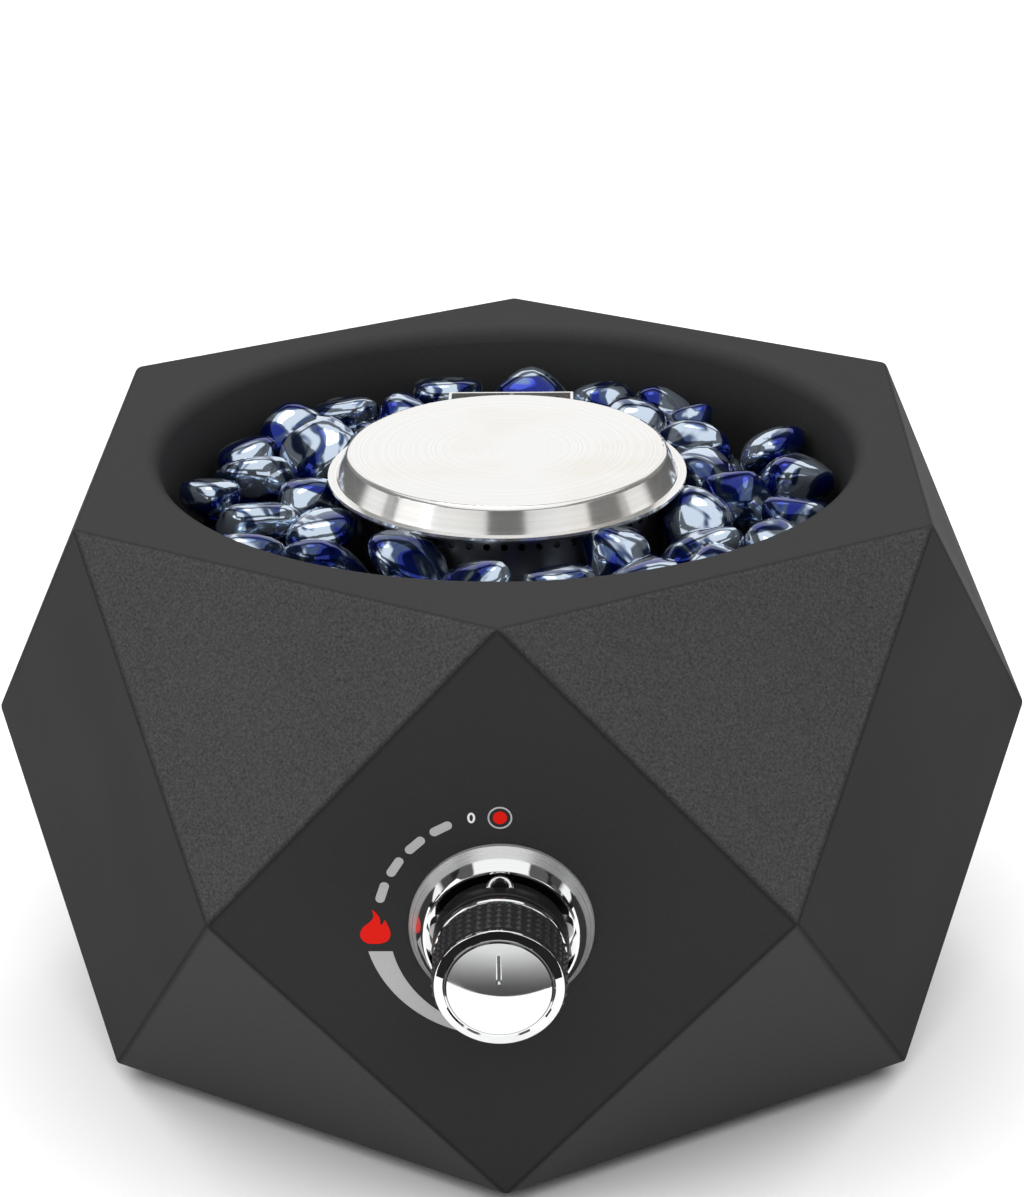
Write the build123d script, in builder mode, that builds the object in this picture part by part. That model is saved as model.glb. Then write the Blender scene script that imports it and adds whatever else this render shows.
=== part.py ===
"""Tabletop gas fire pit.

A faceted sheet-steel body carries a round fire bowl, filled with glass pebbles around a
stainless burner. A push-and-turn knob on the front face works the gas valve behind it.

Frame: millimetres, +Z up. The origin is on the table under the body's axis, and the knob
faces -Y. Angles are degrees.
"""

import math
import os

from build123d import *

os.makedirs("parts", exist_ok=True)

# Clearances
OVERRUN = 4.0  # how far a cut runs past the material
THREAD_GAP = 0.1  # thread or push fit to its hole, on the radius
SLIP_GAP = 0.3  # loose piece to its neighbour
RUN_GAP = 0.05  # turning or sliding fit, on the radius

# Faceted body: a hexagonal prism whose corners are cut off from edge middle to edge middle
SIDES = 6
GIRDLE_R = 180.0  # axis to a girdle corner
BODY_H = 198.0
EDGE_ROUND = 2.5  # folded edges of the facets
SHEET = 1.5  # steel of the skin, deck, bowl and base
TOP_FLANGE_W = 13.0  # skin turned in under the deck
FOOT_FLANGE_W = 34.0  # skin turned in over the base plate

# Base plate, its screws and feet
BASE_INSET = 16.0  # base plate corner in from the skin's corner
VENTS = 12
VENT_GAP = 11.0  # vent's end to the foot's edge
VENT_L = 36.0
VENT_W = 7.0
FOOT_H = 5.0
FOOT_R = 10.0
FOOT_TOE_R = 9.0
FOOT_INSET = 17.0  # foot's middle in from the corner of the skin's foot flange
FOOT_NECK_R = 3.0
FOOT_BULB_R = 4.6
FOOT_BULB_H = 6.0
SCREW_R = 2.0
SCREW_HEAD_R = 3.4
SCREW_HEAD_H = 2.2
SCREW_L = 7.0  # base screw under its head

# Fire bowl
BOWL_DEPTH = 42.0
BOWL_DRAFT = 7.5  # how far the wall leans in from mouth to floor
MOUTH_ROUND = 6.0
FLOOR_ROUND = 8.0

# Burner
BURNER_SHEET = 1.0
BED_W = 55.0  # fire glass between the drum and the bowl's wall, at the floor
DRUM_FLANGE_W = 5.0  # rim turned out
DRUM_PORTS = 60
DRUM_PORT_R = 1.2
DRUM_PORT_DROP = 4.6  # port row below the rim
LID_OVERHANG = 0.8  # lid past the drum's rim
LID_LIP_W = 2.8
LID_SHOULDER_W = 4.0
LID_H = 9.0
LID_DROP = 3.0  # lid top below the deck
TUBE_R = 14.0
TUBE_BORE_R = 11.0
TUBE_FLANGE_R = 22.0
TUBE_FLANGE_T = 2.0
TUBE_FOOT_RISE = 10.0  # tube foot above the knob axis
AIR_PORTS = 4
AIR_PORT_W = 10.0
AIR_PORT_H = 18.0
AIR_PORT_RISE = 22.0  # window sill above the tube foot
TUBE_NUT_AF = 38.0
TUBE_NUT_T = 6.0

# Jet
JET_BLOCK_R = 14.0
JET_BLOCK_DROP = 12.0  # block underside below the knob axis
JET_SPIGOT_H = 8.0
JET_SOCKET_R = 8.0
JET_SOCKET_REACH = 26.0  # pipe socket's mouth from the body's axis
JET_AF = 10.0
JET_HEX_H = 5.0
JET_TIP_R = 2.5
JET_TIP_H = 6.0
JET_BORE_R = 0.6

# Gas pipes
PIPE_R = 4.0
PIPE_BORE_R = 3.0
PIPE_DEPTH = 8.0  # pipe end inside its socket
PIPE_BEND_R = 18.0
PIPE_NUT_AF = 15.0
PIPE_NUT_T = 8.0

# Gas inlet through the rear face
INLET_DROP = 55.0  # below the knob axis
INLET_R = 7.94
INLET_BORE_R = 4.5
INLET_HEX_AF = 24.0
INLET_HEX_T = 9.0
INLET_THREAD_L = 21.0
INLET_NOSE_R = 5.6
INLET_NOSE_L = 5.0
INLET_TAIL_L = 30.0  # behind the face
INLET_NUT_T = 6.0

# Gas valve behind the front face
STEM_R = 4.0
STEM_HOLE_R = 7.0  # through the face and bezel
VALVE_SCREW_X = 18.5
VALVE_EAR_R = 6.0
BONNET_T = 4.0
EAR_T = 7.0
BARREL_R = 13.0
BARREL_L = 42.0
OUTLET_R = 8.0
OUTLET_L = 12.0
INLET_BOSS_DROP = 26.0  # mouth of the inlet boss below the axis
CHAMBER_R = 9.0
CHAMBER_L = 18.0
PLUG_R = 8.0
PLUG_TIP_R = 6.5
PLUG_L = 18.0
PORT_R = 2.5
COLLAR_R = 7.5
COLLAR_T = 2.0
WASHER_R = 8.5
WASHER_T = 1.2
NECK_R = 3.0
TONGUE_W = 3.0
TONGUE_H = 5.0
TONGUE_L = 4.0  # tongue inside the plug's slot with the knob out
SLOT_DEPTH = 9.0
SPRING_R = 7.4
SPRING_WIRE = 1.2
PAD_W = 16.0  # igniter pad on the barrel
PAD_L = 30.0
PAD_RISE = 15.0

# Control knob, measured out from the front face
BEZEL_H = 11.5
BEZEL_EDGE_T = 1.5  # upright edge round the cone's foot
BEZEL_CONE_H = 5.4
BEZEL_CONE_W = 2.5
BEZEL_SHOULDER_W = 1.9  # collar's round from the crest out to the cone
BEZEL_FLOOR_T = 1.2
BEZEL_ROUND = 0.9  # from the crest into the bore
KNOB_REAR = 9.0
KNOB_SKIRT_L = 8.0
KNOB_SKIRT_R = 20.6
KNOB_SKIRT_ROUND = 0.5
KNOB_CORE_R = 17.0
NUB_R = 2.1
NUB_L = 4.0
RING_R = 20.2
RING_T = 3.0
RING_ROUND = 1.2
GRIP_R = 20.4
GRIP_L = 15.0
GRIP_ROUND = 1.0
CAP_R = 19.3
CAP_T = 3.0
CAP_EDGE_T = 1.6  # upright edge under the bevel
CAP_BEVEL_W = 2.5
CAP_BEVEL_H = 0.9
CAP_GROOVE_W = 1.3
CAP_GROOVE_DEPTH = 0.5  # below the bevel's inner edge
CAP_CROWN = 0.6  # disc's middle above its edge
CAP_ROUND = 0.5
CAP_PIN_R = 6.0
CAP_PIN_L = 3.0
POINTER_L = 10.0
POINTER_W = 1.7
POINTER_R = 7.0
POINTER_DEPTH = 0.8
POINTER_TAPER = 35.0
STEM_IN_KNOB = 16.0
STEM_FLAT = 1.0

# Igniter
PIEZO_W = 16.0
PIEZO_H = 15.0
PIEZO_L = 38.0
PIEZO_ROUND = 2.5
PIEZO_EAR_L = 10.0
PIEZO_EAR_T = 3.0
TERMINAL_R = 2.6
TERMINAL_L = 7.0
WIRE_R = 1.6
WIRE_BEND_SHARE = 0.45  # of the shorter stretch at a bend
ELECTRODE_GAP = 13.0  # electrode's axis from the drum
INSULATOR_R = 3.5
INSULATOR_RISE = 16.0
INSULATOR_DROP = 20.0
INSULATOR_COLLAR_R = 6.0
INSULATOR_COLLAR_T = 3.0
ROD_R = 1.0
ROD_DROP = 5.0
ROD_BEND_R = 3.0
ROD_TIP_GAP = 2.5  # spark gap to the drum
CLIP_R = 7.0
CLIP_T = 0.8

# Guard round the electrode
GUARD_SHEET = 1.0
GUARD_W = 45.0
GUARD_GAP = 12.0  # back face from the electrode's axis
GUARD_WING = 14.0
GUARD_H = 30.5
GUARD_FOOT_L = 8.0
GUARD_PORTS = 5
GUARD_PORT_ROWS = 2
GUARD_PORT_R = 1.8
GUARD_PORT_PITCH = 8.4
GUARD_PORT_DROP = 3.2
RIVET_R = 1.6
RIVET_HEAD_R = 2.8
RIVET_HEAD_T = 1.0
RIVET_X = 14.0

# Fire glass
PEBBLE_H = 14.5
PEBBLE_TAPER = 30.0
PEBBLE_SIDES = 7
PEBBLE_R = 11.2  # smallest of the main pebbles
PEBBLE_SPREAD = 2.6  # how much larger the largest is
CHIP_R = 7.6  # chips between the main pebbles
CHIP_SPREAD = 1.0
PEBBLE_STEPS = 720
PEBBLE_TRACKS = 25
GOLDEN_SHARE = 0.618

# Levels
BODY_Z = FOOT_H + SHEET
KNOB_Z = BODY_Z + BODY_H / 2
DECK_Z = BODY_Z + BODY_H
FLOOR_Z = DECK_Z - BOWL_DEPTH
LID_Z = DECK_Z - LID_DROP
RIM_Z = LID_Z - LID_H
TUBE_FOOT_Z = KNOB_Z + TUBE_FOOT_RISE
INLET_Z = KNOB_Z - INLET_DROP

# Hexagon radii and the two faces that fittings pass through
HALF_STEP = 180.0 / SIDES
CORNER_SHARE = math.cos(math.radians(HALF_STEP))
RIM_R = GIRDLE_R * CORNER_SHARE  # axis to a deck corner, and to the upright faces
FACE_Y = -RIM_R
FACE_BACK_Y = FACE_Y + SHEET
BODY_FACE_Y = FACE_BACK_Y + BONNET_T
BASE_R = RIM_R - BASE_INSET
BASE_SCREW_R = CORNER_SHARE * (RIM_R - FOOT_FLANGE_W + BASE_R) / 2
FOOT_PITCH_R = RIM_R - FOOT_FLANGE_W - FOOT_INSET
VENT_R = FOOT_PITCH_R - FOOT_R - VENT_GAP - VENT_L / 2

# Bowl and burner radii, from the skin's top flange inwards
MOUTH_R = CORNER_SHARE * (RIM_R - TOP_FLANGE_W) - MOUTH_ROUND - SLIP_GAP  # wall carried up to the deck
FLOOR_R = MOUTH_R - BOWL_DRAFT  # wall carried down to the floor
DRUM_R = FLOOR_R - BED_W
DRUM_RIM_R = DRUM_R + DRUM_FLANGE_W
LID_R = DRUM_RIM_R + LID_OVERHANG
LID_SHOULDER_R = LID_R - LID_LIP_W
LID_CROWN_R = LID_SHOULDER_R - LID_SHOULDER_W
ELECTRODE_Y = DRUM_R + ELECTRODE_GAP
GUARD_Y = ELECTRODE_Y + GUARD_GAP

# Bezel radii, from the knob's index nub outwards
BEZEL_BORE_R = KNOB_SKIRT_R + NUB_R + SLIP_GAP
BEZEL_CREST_R = BEZEL_BORE_R + BEZEL_ROUND
BEZEL_COLLAR_R = BEZEL_CREST_R + BEZEL_SHOULDER_W
BEZEL_R = BEZEL_COLLAR_R + BEZEL_CONE_W

# Places along the knob's axis
CHAMBER_END_Y = BODY_FACE_Y + CHAMBER_L
BARREL_END_Y = BODY_FACE_Y + BARREL_L
OUTLET_END_Y = BARREL_END_Y + OUTLET_L
PLUG_END_Y = CHAMBER_END_Y + PLUG_L
PORT_Y = PLUG_END_Y - PORT_R - PIPE_BORE_R
INLET_BOSS_Z = KNOB_Z - INLET_BOSS_DROP
KNOB_FRONT = KNOB_REAR + KNOB_SKIRT_L + RING_T + GRIP_L

# Planes and axes of turned pieces
KNOB_AXIS = Axis((0, FACE_Y, KNOB_Z), (0, -1, 0))
KNOB_SECTION = Plane((0, FACE_Y, KNOB_Z), x_dir=(1, 0, 0), z_dir=(0, 0, -1))
KNOB_FACE = Plane((0, FACE_Y, KNOB_Z), x_dir=(1, 0, 0), z_dir=(0, -1, 0))
VALVE_SECTION = Plane((0, 0, KNOB_Z), x_dir=(1, 0, 0), z_dir=(0, 0, 1))
VALVE_AXIS = Axis((0, 0, KNOB_Z), (0, 1, 0))
INLET_SECTION = Plane((0, RIM_R, INLET_Z), x_dir=(1, 0, 0), z_dir=(0, 0, 1))
INLET_AXIS = Axis((0, RIM_R, INLET_Z), (0, 1, 0))


def valve_plane(y):
    """Plane across the knob axis at y, looking to the rear, with its y up."""
    return Plane((0, y, KNOB_Z), x_dir=(-1, 0, 0), z_dir=(0, 1, 0))


def faceted_points(girdle_r):
    """Corners of the faceted body whose girdle corners lie at girdle_r."""
    points = []
    for i in range(SIDES):
        turn = math.radians(2 * HALF_STEP * i)
        lead = turn + math.radians(HALF_STEP)
        rim_r = girdle_r * CORNER_SHARE
        points.append((girdle_r * math.cos(turn), girdle_r * math.sin(turn), KNOB_Z))
        for z in (BODY_Z, DECK_Z):
            points.append((rim_r * math.cos(lead), rim_r * math.sin(lead), z))
    return points


def save(piece, name):
    """Label a finished piece and write it."""
    piece.part.label = name
    export_step(piece.part, f"parts/{name}.step")


# Faceted outside of the body: six upright kites, twelve leaning triangles, deck and base
with BuildPart() as block:
    ConvexPolyhedron(faceted_points(GIRDLE_R))
    fillet(block.edges(), EDGE_ROUND)

# Skin, turned in at the top and the foot
with BuildPart() as hollow:
    ConvexPolyhedron(faceted_points(GIRDLE_R - SHEET / CORNER_SHARE))
    split(bisect_by=Plane.XY.offset(BODY_Z + SHEET), keep=Keep.TOP)
    split(bisect_by=Plane.XY.offset(DECK_Z - 2 * SHEET), keep=Keep.BOTTOM)

with BuildPart() as body_shell:
    add(block.part)
    split(bisect_by=Plane.XY.offset(DECK_Z - SHEET), keep=Keep.BOTTOM)
    add(hollow.part, mode=Mode.SUBTRACT)
    with BuildSketch(Plane.XY.offset(KNOB_Z)):
        RegularPolygon(RIM_R - FOOT_FLANGE_W, SIDES, rotation=HALF_STEP)
    extrude(amount=-BODY_H, mode=Mode.SUBTRACT)
    with BuildSketch(Plane.XY.offset(KNOB_Z)):
        RegularPolygon(RIM_R - TOP_FLANGE_W, SIDES, rotation=HALF_STEP)
    extrude(amount=BODY_H, mode=Mode.SUBTRACT)
    with BuildSketch(valve_plane(FACE_Y)):
        Circle(STEM_HOLE_R)
        with Locations((VALVE_SCREW_X, 0), (-VALVE_SCREW_X, 0)):
            Circle(SCREW_R + SLIP_GAP)
    extrude(amount=2 * OVERRUN, both=True, mode=Mode.SUBTRACT)
    with BuildSketch(Plane((0, RIM_R, INLET_Z), x_dir=(1, 0, 0), z_dir=(0, 1, 0))):
        Circle(INLET_R + SLIP_GAP)
    extrude(amount=2 * OVERRUN, both=True, mode=Mode.SUBTRACT)
    with BuildSketch(Plane.XY.offset(BODY_Z)):
        with PolarLocations(BASE_SCREW_R, SIDES):
            Circle(SCREW_R + THREAD_GAP)
    extrude(amount=OVERRUN, both=True, mode=Mode.SUBTRACT)
save(body_shell, "body_shell")


def bowl_line(grow):
    """One face of the pressed sheet, from the deck over the mouth and down to the floor's centre."""
    return FilletPolyline(
        (MOUTH_R + 2 * MOUTH_ROUND, DECK_Z - grow),
        (MOUTH_R + grow, DECK_Z - grow),
        (FLOOR_R + grow, FLOOR_Z - grow),
        (0, FLOOR_Z - grow),
        radius=[MOUTH_ROUND - grow, FLOOR_ROUND + grow],
    )


# Deck with the fire bowl pressed into it
with BuildPart() as bowl_deck:
    add(block.part)
    split(bisect_by=Plane.XY.offset(DECK_Z - SHEET), keep=Keep.TOP)
    with BuildSketch(Plane.XY.offset(DECK_Z)):
        Circle(MOUTH_R + 2 * MOUTH_ROUND)
    extrude(amount=-OVERRUN, mode=Mode.SUBTRACT)
    with BuildSketch(Plane.XZ):
        with BuildLine():
            upper = bowl_line(0)
            lower = bowl_line(SHEET)
            Line(upper @ 0, lower @ 0)
            Line(upper @ 1, lower @ 1)
        make_face()
    revolve(axis=Axis.Z)
    with BuildSketch(Plane.XY.offset(FLOOR_Z)):
        Circle(TUBE_R + THREAD_GAP)
        with Locations((0, ELECTRODE_Y)):
            Circle(INSULATOR_R + THREAD_GAP)
        with Locations((RIVET_X, GUARD_Y + GUARD_FOOT_L / 2), (-RIVET_X, GUARD_Y + GUARD_FOOT_L / 2)):
            Circle(RIVET_R + THREAD_GAP)
    extrude(amount=OVERRUN, both=True, mode=Mode.SUBTRACT)
save(bowl_deck, "bowl_deck")

# Base plate with radial vents, screwed up under the skin's foot flange
with BuildPart() as base_plate:
    with BuildSketch(Plane.XY.offset(FOOT_H)):
        RegularPolygon(BASE_R, SIDES, rotation=HALF_STEP)
        with PolarLocations(VENT_R, VENTS):
            SlotOverall(VENT_L, VENT_W, mode=Mode.SUBTRACT)
        with PolarLocations(BASE_SCREW_R, SIDES):
            Circle(SCREW_R + SLIP_GAP, mode=Mode.SUBTRACT)
        with PolarLocations(FOOT_PITCH_R, SIDES, start_angle=HALF_STEP):
            Circle(FOOT_NECK_R + THREAD_GAP, mode=Mode.SUBTRACT)
    extrude(amount=SHEET)
save(base_plate, "base_plate")

with BuildPart() as base_screws:
    with BuildSketch(Plane.XY.offset(FOOT_H)):
        with PolarLocations(BASE_SCREW_R, SIDES):
            Circle(SCREW_HEAD_R)
    extrude(amount=-SCREW_HEAD_H)
    with BuildSketch(Plane.XY.offset(FOOT_H)):
        with PolarLocations(BASE_SCREW_R, SIDES):
            Circle(SCREW_R)
    extrude(amount=SCREW_L)
save(base_screws, "base_screws")

# Push-in rubber feet
for i in range(SIDES):
    turn = math.radians(HALF_STEP + 2 * HALF_STEP * i)
    centre = (FOOT_PITCH_R * math.cos(turn), FOOT_PITCH_R * math.sin(turn), 0)
    with BuildPart() as rubber_foot:
        with BuildSketch(Plane(centre, x_dir=(1, 0, 0), z_dir=(0, -1, 0))):
            Polygon(
                (0, 0),
                (FOOT_TOE_R, 0),
                (FOOT_R, FOOT_H),
                (FOOT_NECK_R, FOOT_H),
                (FOOT_NECK_R, BODY_Z),
                (FOOT_BULB_R, BODY_Z),
                (FOOT_NECK_R, BODY_Z + FOOT_BULB_H),
                (0, BODY_Z + FOOT_BULB_H),
            )
        revolve(axis=Axis(centre, (0, 0, 1)))
    save(rubber_foot, f"rubber_foot_{i + 1}")

# Burner drum: a cup with a turned-out rim and a row of flame ports
with BuildPart() as burner_drum:
    with BuildSketch(Plane.XZ):
        Polygon(
            (TUBE_R + THREAD_GAP, FLOOR_Z),
            (DRUM_R, FLOOR_Z),
            (DRUM_R, RIM_Z - BURNER_SHEET),
            (DRUM_RIM_R, RIM_Z - BURNER_SHEET),
            (DRUM_RIM_R, RIM_Z),
            (DRUM_R - BURNER_SHEET, RIM_Z),
            (DRUM_R - BURNER_SHEET, FLOOR_Z + BURNER_SHEET),
            (TUBE_R + THREAD_GAP, FLOOR_Z + BURNER_SHEET),
        )
    revolve(axis=Axis.Z)
    for i in range(DRUM_PORTS):
        port_dir = Vector(1, 0, 0).rotate(Axis.Z, 360 * i / DRUM_PORTS)
        with BuildSketch(Plane((0, 0, RIM_Z - DRUM_PORT_DROP), x_dir=(0, 0, 1), z_dir=port_dir)):
            Circle(DRUM_PORT_R)
        extrude(amount=DRUM_R + OVERRUN, mode=Mode.SUBTRACT)
save(burner_drum, "burner_drum")

# Burner lid: an inverted saucer whose lip rests on the drum's rim
with BuildPart() as burner_lid:
    with BuildSketch(Plane.XZ):
        Polygon(
            (0, LID_Z - BURNER_SHEET),
            (LID_CROWN_R - BURNER_SHEET, LID_Z - BURNER_SHEET),
            (LID_SHOULDER_R - BURNER_SHEET, RIM_Z),
            (LID_R, RIM_Z),
            (LID_R, RIM_Z + BURNER_SHEET),
            (LID_SHOULDER_R, RIM_Z + BURNER_SHEET),
            (LID_CROWN_R, LID_Z),
            (0, LID_Z),
        )
    revolve(axis=Axis.Z)
    fillet(burner_lid.edges().filter_by(GeomType.CIRCLE).group_by(Axis.Z)[-1], 2 * BURNER_SHEET)
save(burner_lid, "burner_lid")

# Mixing tube, which clamps drum and bowl together, with air windows near its foot
with BuildPart() as mixing_tube:
    with BuildSketch(Plane.XZ):
        Polygon(
            (TUBE_BORE_R, TUBE_FOOT_Z),
            (TUBE_R, TUBE_FOOT_Z),
            (TUBE_R, FLOOR_Z + BURNER_SHEET),
            (TUBE_FLANGE_R, FLOOR_Z + BURNER_SHEET),
            (TUBE_FLANGE_R, FLOOR_Z + BURNER_SHEET + TUBE_FLANGE_T),
            (TUBE_BORE_R, FLOOR_Z + BURNER_SHEET + TUBE_FLANGE_T),
        )
    revolve(axis=Axis.Z)
    for i in range(AIR_PORTS):
        port_dir = Vector(1, 0, 0).rotate(Axis.Z, 360 * (i + 0.5) / AIR_PORTS)
        port_z = TUBE_FOOT_Z + AIR_PORT_RISE + AIR_PORT_H / 2
        with BuildSketch(Plane((0, 0, port_z), x_dir=(0, 0, 1), z_dir=port_dir)):
            SlotOverall(AIR_PORT_H, AIR_PORT_W)
        extrude(amount=TUBE_R + OVERRUN, mode=Mode.SUBTRACT)
save(mixing_tube, "mixing_tube")

with BuildPart() as burner_locknut:
    with BuildSketch(Plane.XY.offset(FLOOR_Z - SHEET)):
        RegularPolygon(TUBE_NUT_AF / 2, SIDES, major_radius=False)
        Circle(TUBE_R + THREAD_GAP, mode=Mode.SUBTRACT)
    extrude(amount=-TUBE_NUT_T)
save(burner_locknut, "burner_locknut")

# Jet holder: a block under the mixing tube with a spigot up into it and a socket to the front
JET_Z = TUBE_FOOT_Z + JET_SPIGOT_H
with BuildPart() as jet_holder:
    with BuildSketch(Plane.XZ):
        Polygon(
            (0, KNOB_Z - JET_BLOCK_DROP),
            (JET_BLOCK_R, KNOB_Z - JET_BLOCK_DROP),
            (JET_BLOCK_R, TUBE_FOOT_Z),
            (TUBE_BORE_R - THREAD_GAP, TUBE_FOOT_Z),
            (TUBE_BORE_R - THREAD_GAP, JET_Z),
            (0, JET_Z),
        )
    revolve(axis=Axis.Z)
    with BuildSketch(valve_plane(0)):
        Circle(JET_SOCKET_R)
    extrude(amount=-JET_SOCKET_REACH)
    with BuildSketch(valve_plane(-JET_SOCKET_REACH)):
        Circle(PIPE_R + THREAD_GAP)
    extrude(amount=PIPE_DEPTH, mode=Mode.SUBTRACT)
    with BuildSketch(valve_plane(-JET_SOCKET_REACH)):
        Circle(PIPE_BORE_R)
    extrude(amount=JET_SOCKET_REACH, mode=Mode.SUBTRACT)
    with BuildSketch(Plane.XY.offset(KNOB_Z)):
        Circle(PIPE_BORE_R)
    extrude(amount=JET_Z - KNOB_Z, mode=Mode.SUBTRACT)
save(jet_holder, "jet_holder")

with BuildPart() as gas_jet:
    with BuildSketch(Plane.XY.offset(JET_Z)):
        RegularPolygon(JET_AF / 2, SIDES, major_radius=False)
    extrude(amount=JET_HEX_H)
    with Locations((0, 0, JET_Z + JET_HEX_H)):
        Cone(JET_AF / 2, JET_TIP_R, JET_TIP_H, align=(Align.CENTER, Align.CENTER, Align.MIN))
    with BuildSketch(Plane.XY.offset(JET_Z)):
        Circle(JET_BORE_R)
    extrude(amount=JET_HEX_H + JET_TIP_H, mode=Mode.SUBTRACT)
save(gas_jet, "gas_jet")

# Valve bonnet: the plate between the face and the valve that keeps the stem's collar in
with BuildPart() as valve_bonnet:
    with BuildSketch(valve_plane(FACE_BACK_Y)):
        SlotCenterToCenter(2 * VALVE_SCREW_X, 2 * VALVE_EAR_R)
        Circle(BARREL_R)
        Circle(STEM_R + RUN_GAP, mode=Mode.SUBTRACT)
        with Locations((VALVE_SCREW_X, 0), (-VALVE_SCREW_X, 0)):
            Circle(SCREW_R + SLIP_GAP, mode=Mode.SUBTRACT)
    extrude(amount=BONNET_T)
save(valve_bonnet, "valve_bonnet")

# Valve body: barrel with ears, an outlet to the rear, an inlet from below, a pad on top
with BuildPart() as valve_body:
    with BuildSketch(valve_plane(BODY_FACE_Y)):
        SlotCenterToCenter(2 * VALVE_SCREW_X, 2 * VALVE_EAR_R)
    extrude(amount=EAR_T)
    with BuildSketch(valve_plane(BODY_FACE_Y)):
        Circle(BARREL_R)
    extrude(amount=BARREL_L)
    with BuildSketch(valve_plane(BARREL_END_Y)):
        Circle(OUTLET_R)
    extrude(amount=OUTLET_L)
    with BuildSketch(Plane((0, PORT_Y, KNOB_Z), x_dir=(1, 0, 0), z_dir=(0, 0, -1))):
        Circle(OUTLET_R)
    extrude(amount=INLET_BOSS_DROP)
    with BuildSketch(Plane((0, BARREL_END_Y - PAD_L / 2, KNOB_Z), x_dir=(1, 0, 0), z_dir=(0, 0, 1))):
        Rectangle(PAD_W, PAD_L)
    extrude(amount=PAD_RISE)
    with BuildSketch(VALVE_SECTION):
        Polygon(
            (0, BODY_FACE_Y),
            (CHAMBER_R, BODY_FACE_Y),
            (CHAMBER_R, CHAMBER_END_Y),
            (PLUG_R + RUN_GAP, CHAMBER_END_Y),
            (PLUG_TIP_R + RUN_GAP, PLUG_END_Y),
            (PIPE_BORE_R, PLUG_END_Y),
            (PIPE_BORE_R, OUTLET_END_Y - PIPE_DEPTH),
            (PIPE_R + THREAD_GAP, OUTLET_END_Y - PIPE_DEPTH),
            (PIPE_R + THREAD_GAP, OUTLET_END_Y),
            (0, OUTLET_END_Y),
        )
    revolve(axis=VALVE_AXIS, mode=Mode.SUBTRACT)
    with BuildSketch(Plane((0, PORT_Y, INLET_BOSS_Z), x_dir=(1, 0, 0), z_dir=(0, 0, 1))):
        Circle(PIPE_R + THREAD_GAP)
    extrude(amount=PIPE_DEPTH, mode=Mode.SUBTRACT)
    with BuildSketch(Plane((0, PORT_Y, INLET_BOSS_Z), x_dir=(1, 0, 0), z_dir=(0, 0, 1))):
        Circle(PORT_R)
    extrude(amount=INLET_BOSS_DROP, mode=Mode.SUBTRACT)
    with BuildSketch(valve_plane(BODY_FACE_Y)):
        with Locations((VALVE_SCREW_X, 0), (-VALVE_SCREW_X, 0)):
            Circle(SCREW_R + THREAD_GAP)
    extrude(amount=EAR_T, mode=Mode.SUBTRACT)
    with BuildSketch(
        Plane((0, BARREL_END_Y - PIEZO_EAR_L / 2, KNOB_Z + PAD_RISE), x_dir=(1, 0, 0), z_dir=(0, 0, 1))
    ):
        Circle(SCREW_R + THREAD_GAP)
    extrude(amount=-SCREW_L, mode=Mode.SUBTRACT)
save(valve_body, "valve_body")

# Valve plug: a tapered tap with a port from its side to its tip, shut at rest, and a slot for the stem
with BuildPart() as valve_plug:
    with BuildSketch(VALVE_SECTION):
        Polygon(
            (0, CHAMBER_END_Y),
            (PLUG_R, CHAMBER_END_Y),
            (PLUG_TIP_R, PLUG_END_Y),
            (0, PLUG_END_Y),
        )
    revolve(axis=VALVE_AXIS)
    with BuildSketch(valve_plane(CHAMBER_END_Y)):
        Rectangle(TONGUE_W + 2 * THREAD_GAP, TONGUE_H + 2 * THREAD_GAP)
    extrude(amount=SLOT_DEPTH, mode=Mode.SUBTRACT)
    with BuildSketch(valve_plane(PLUG_END_Y)):
        Circle(PORT_R)
    extrude(amount=SLOT_DEPTH - PLUG_L + PORT_R, mode=Mode.SUBTRACT)
    with BuildSketch(Plane((0, PORT_Y, KNOB_Z), x_dir=(0, 1, 0), z_dir=(-1, 0, 0))):
        Circle(PORT_R)
    extrude(amount=PLUG_R + OVERRUN, mode=Mode.SUBTRACT)
save(valve_plug, "valve_plug")

# Valve stem: shaft with a flat for the knob, collar, neck and a tongue into the plug
STEM_FRONT_Y = FACE_Y - KNOB_REAR - STEM_IN_KNOB
COLLAR_END_Y = BODY_FACE_Y + COLLAR_T
with BuildPart() as valve_stem:
    with BuildSketch(VALVE_SECTION):
        Polygon(
            (0, STEM_FRONT_Y),
            (STEM_R, STEM_FRONT_Y),
            (STEM_R, BODY_FACE_Y),
            (COLLAR_R, BODY_FACE_Y),
            (COLLAR_R, COLLAR_END_Y),
            (NECK_R, COLLAR_END_Y),
            (NECK_R, CHAMBER_END_Y - TONGUE_L - RUN_GAP),
            (0, CHAMBER_END_Y - TONGUE_L - RUN_GAP),
        )
    revolve(axis=VALVE_AXIS)
    with BuildSketch(valve_plane(COLLAR_END_Y)):
        Rectangle(TONGUE_W, TONGUE_H)
    extrude(amount=CHAMBER_L - COLLAR_T + TONGUE_L)
    with BuildSketch(valve_plane(STEM_FRONT_Y)):
        with Locations((0, STEM_R - STEM_FLAT)):
            Rectangle(2 * STEM_R, STEM_R, align=(Align.CENTER, Align.MIN))
    extrude(amount=STEM_IN_KNOB, mode=Mode.SUBTRACT)
save(valve_stem, "valve_stem")

with BuildPart() as thrust_washer:
    with BuildSketch(valve_plane(COLLAR_END_Y)):
        Circle(WASHER_R)
        Circle(NECK_R + RUN_GAP, mode=Mode.SUBTRACT)
    extrude(amount=WASHER_T)
save(thrust_washer, "thrust_washer")

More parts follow.
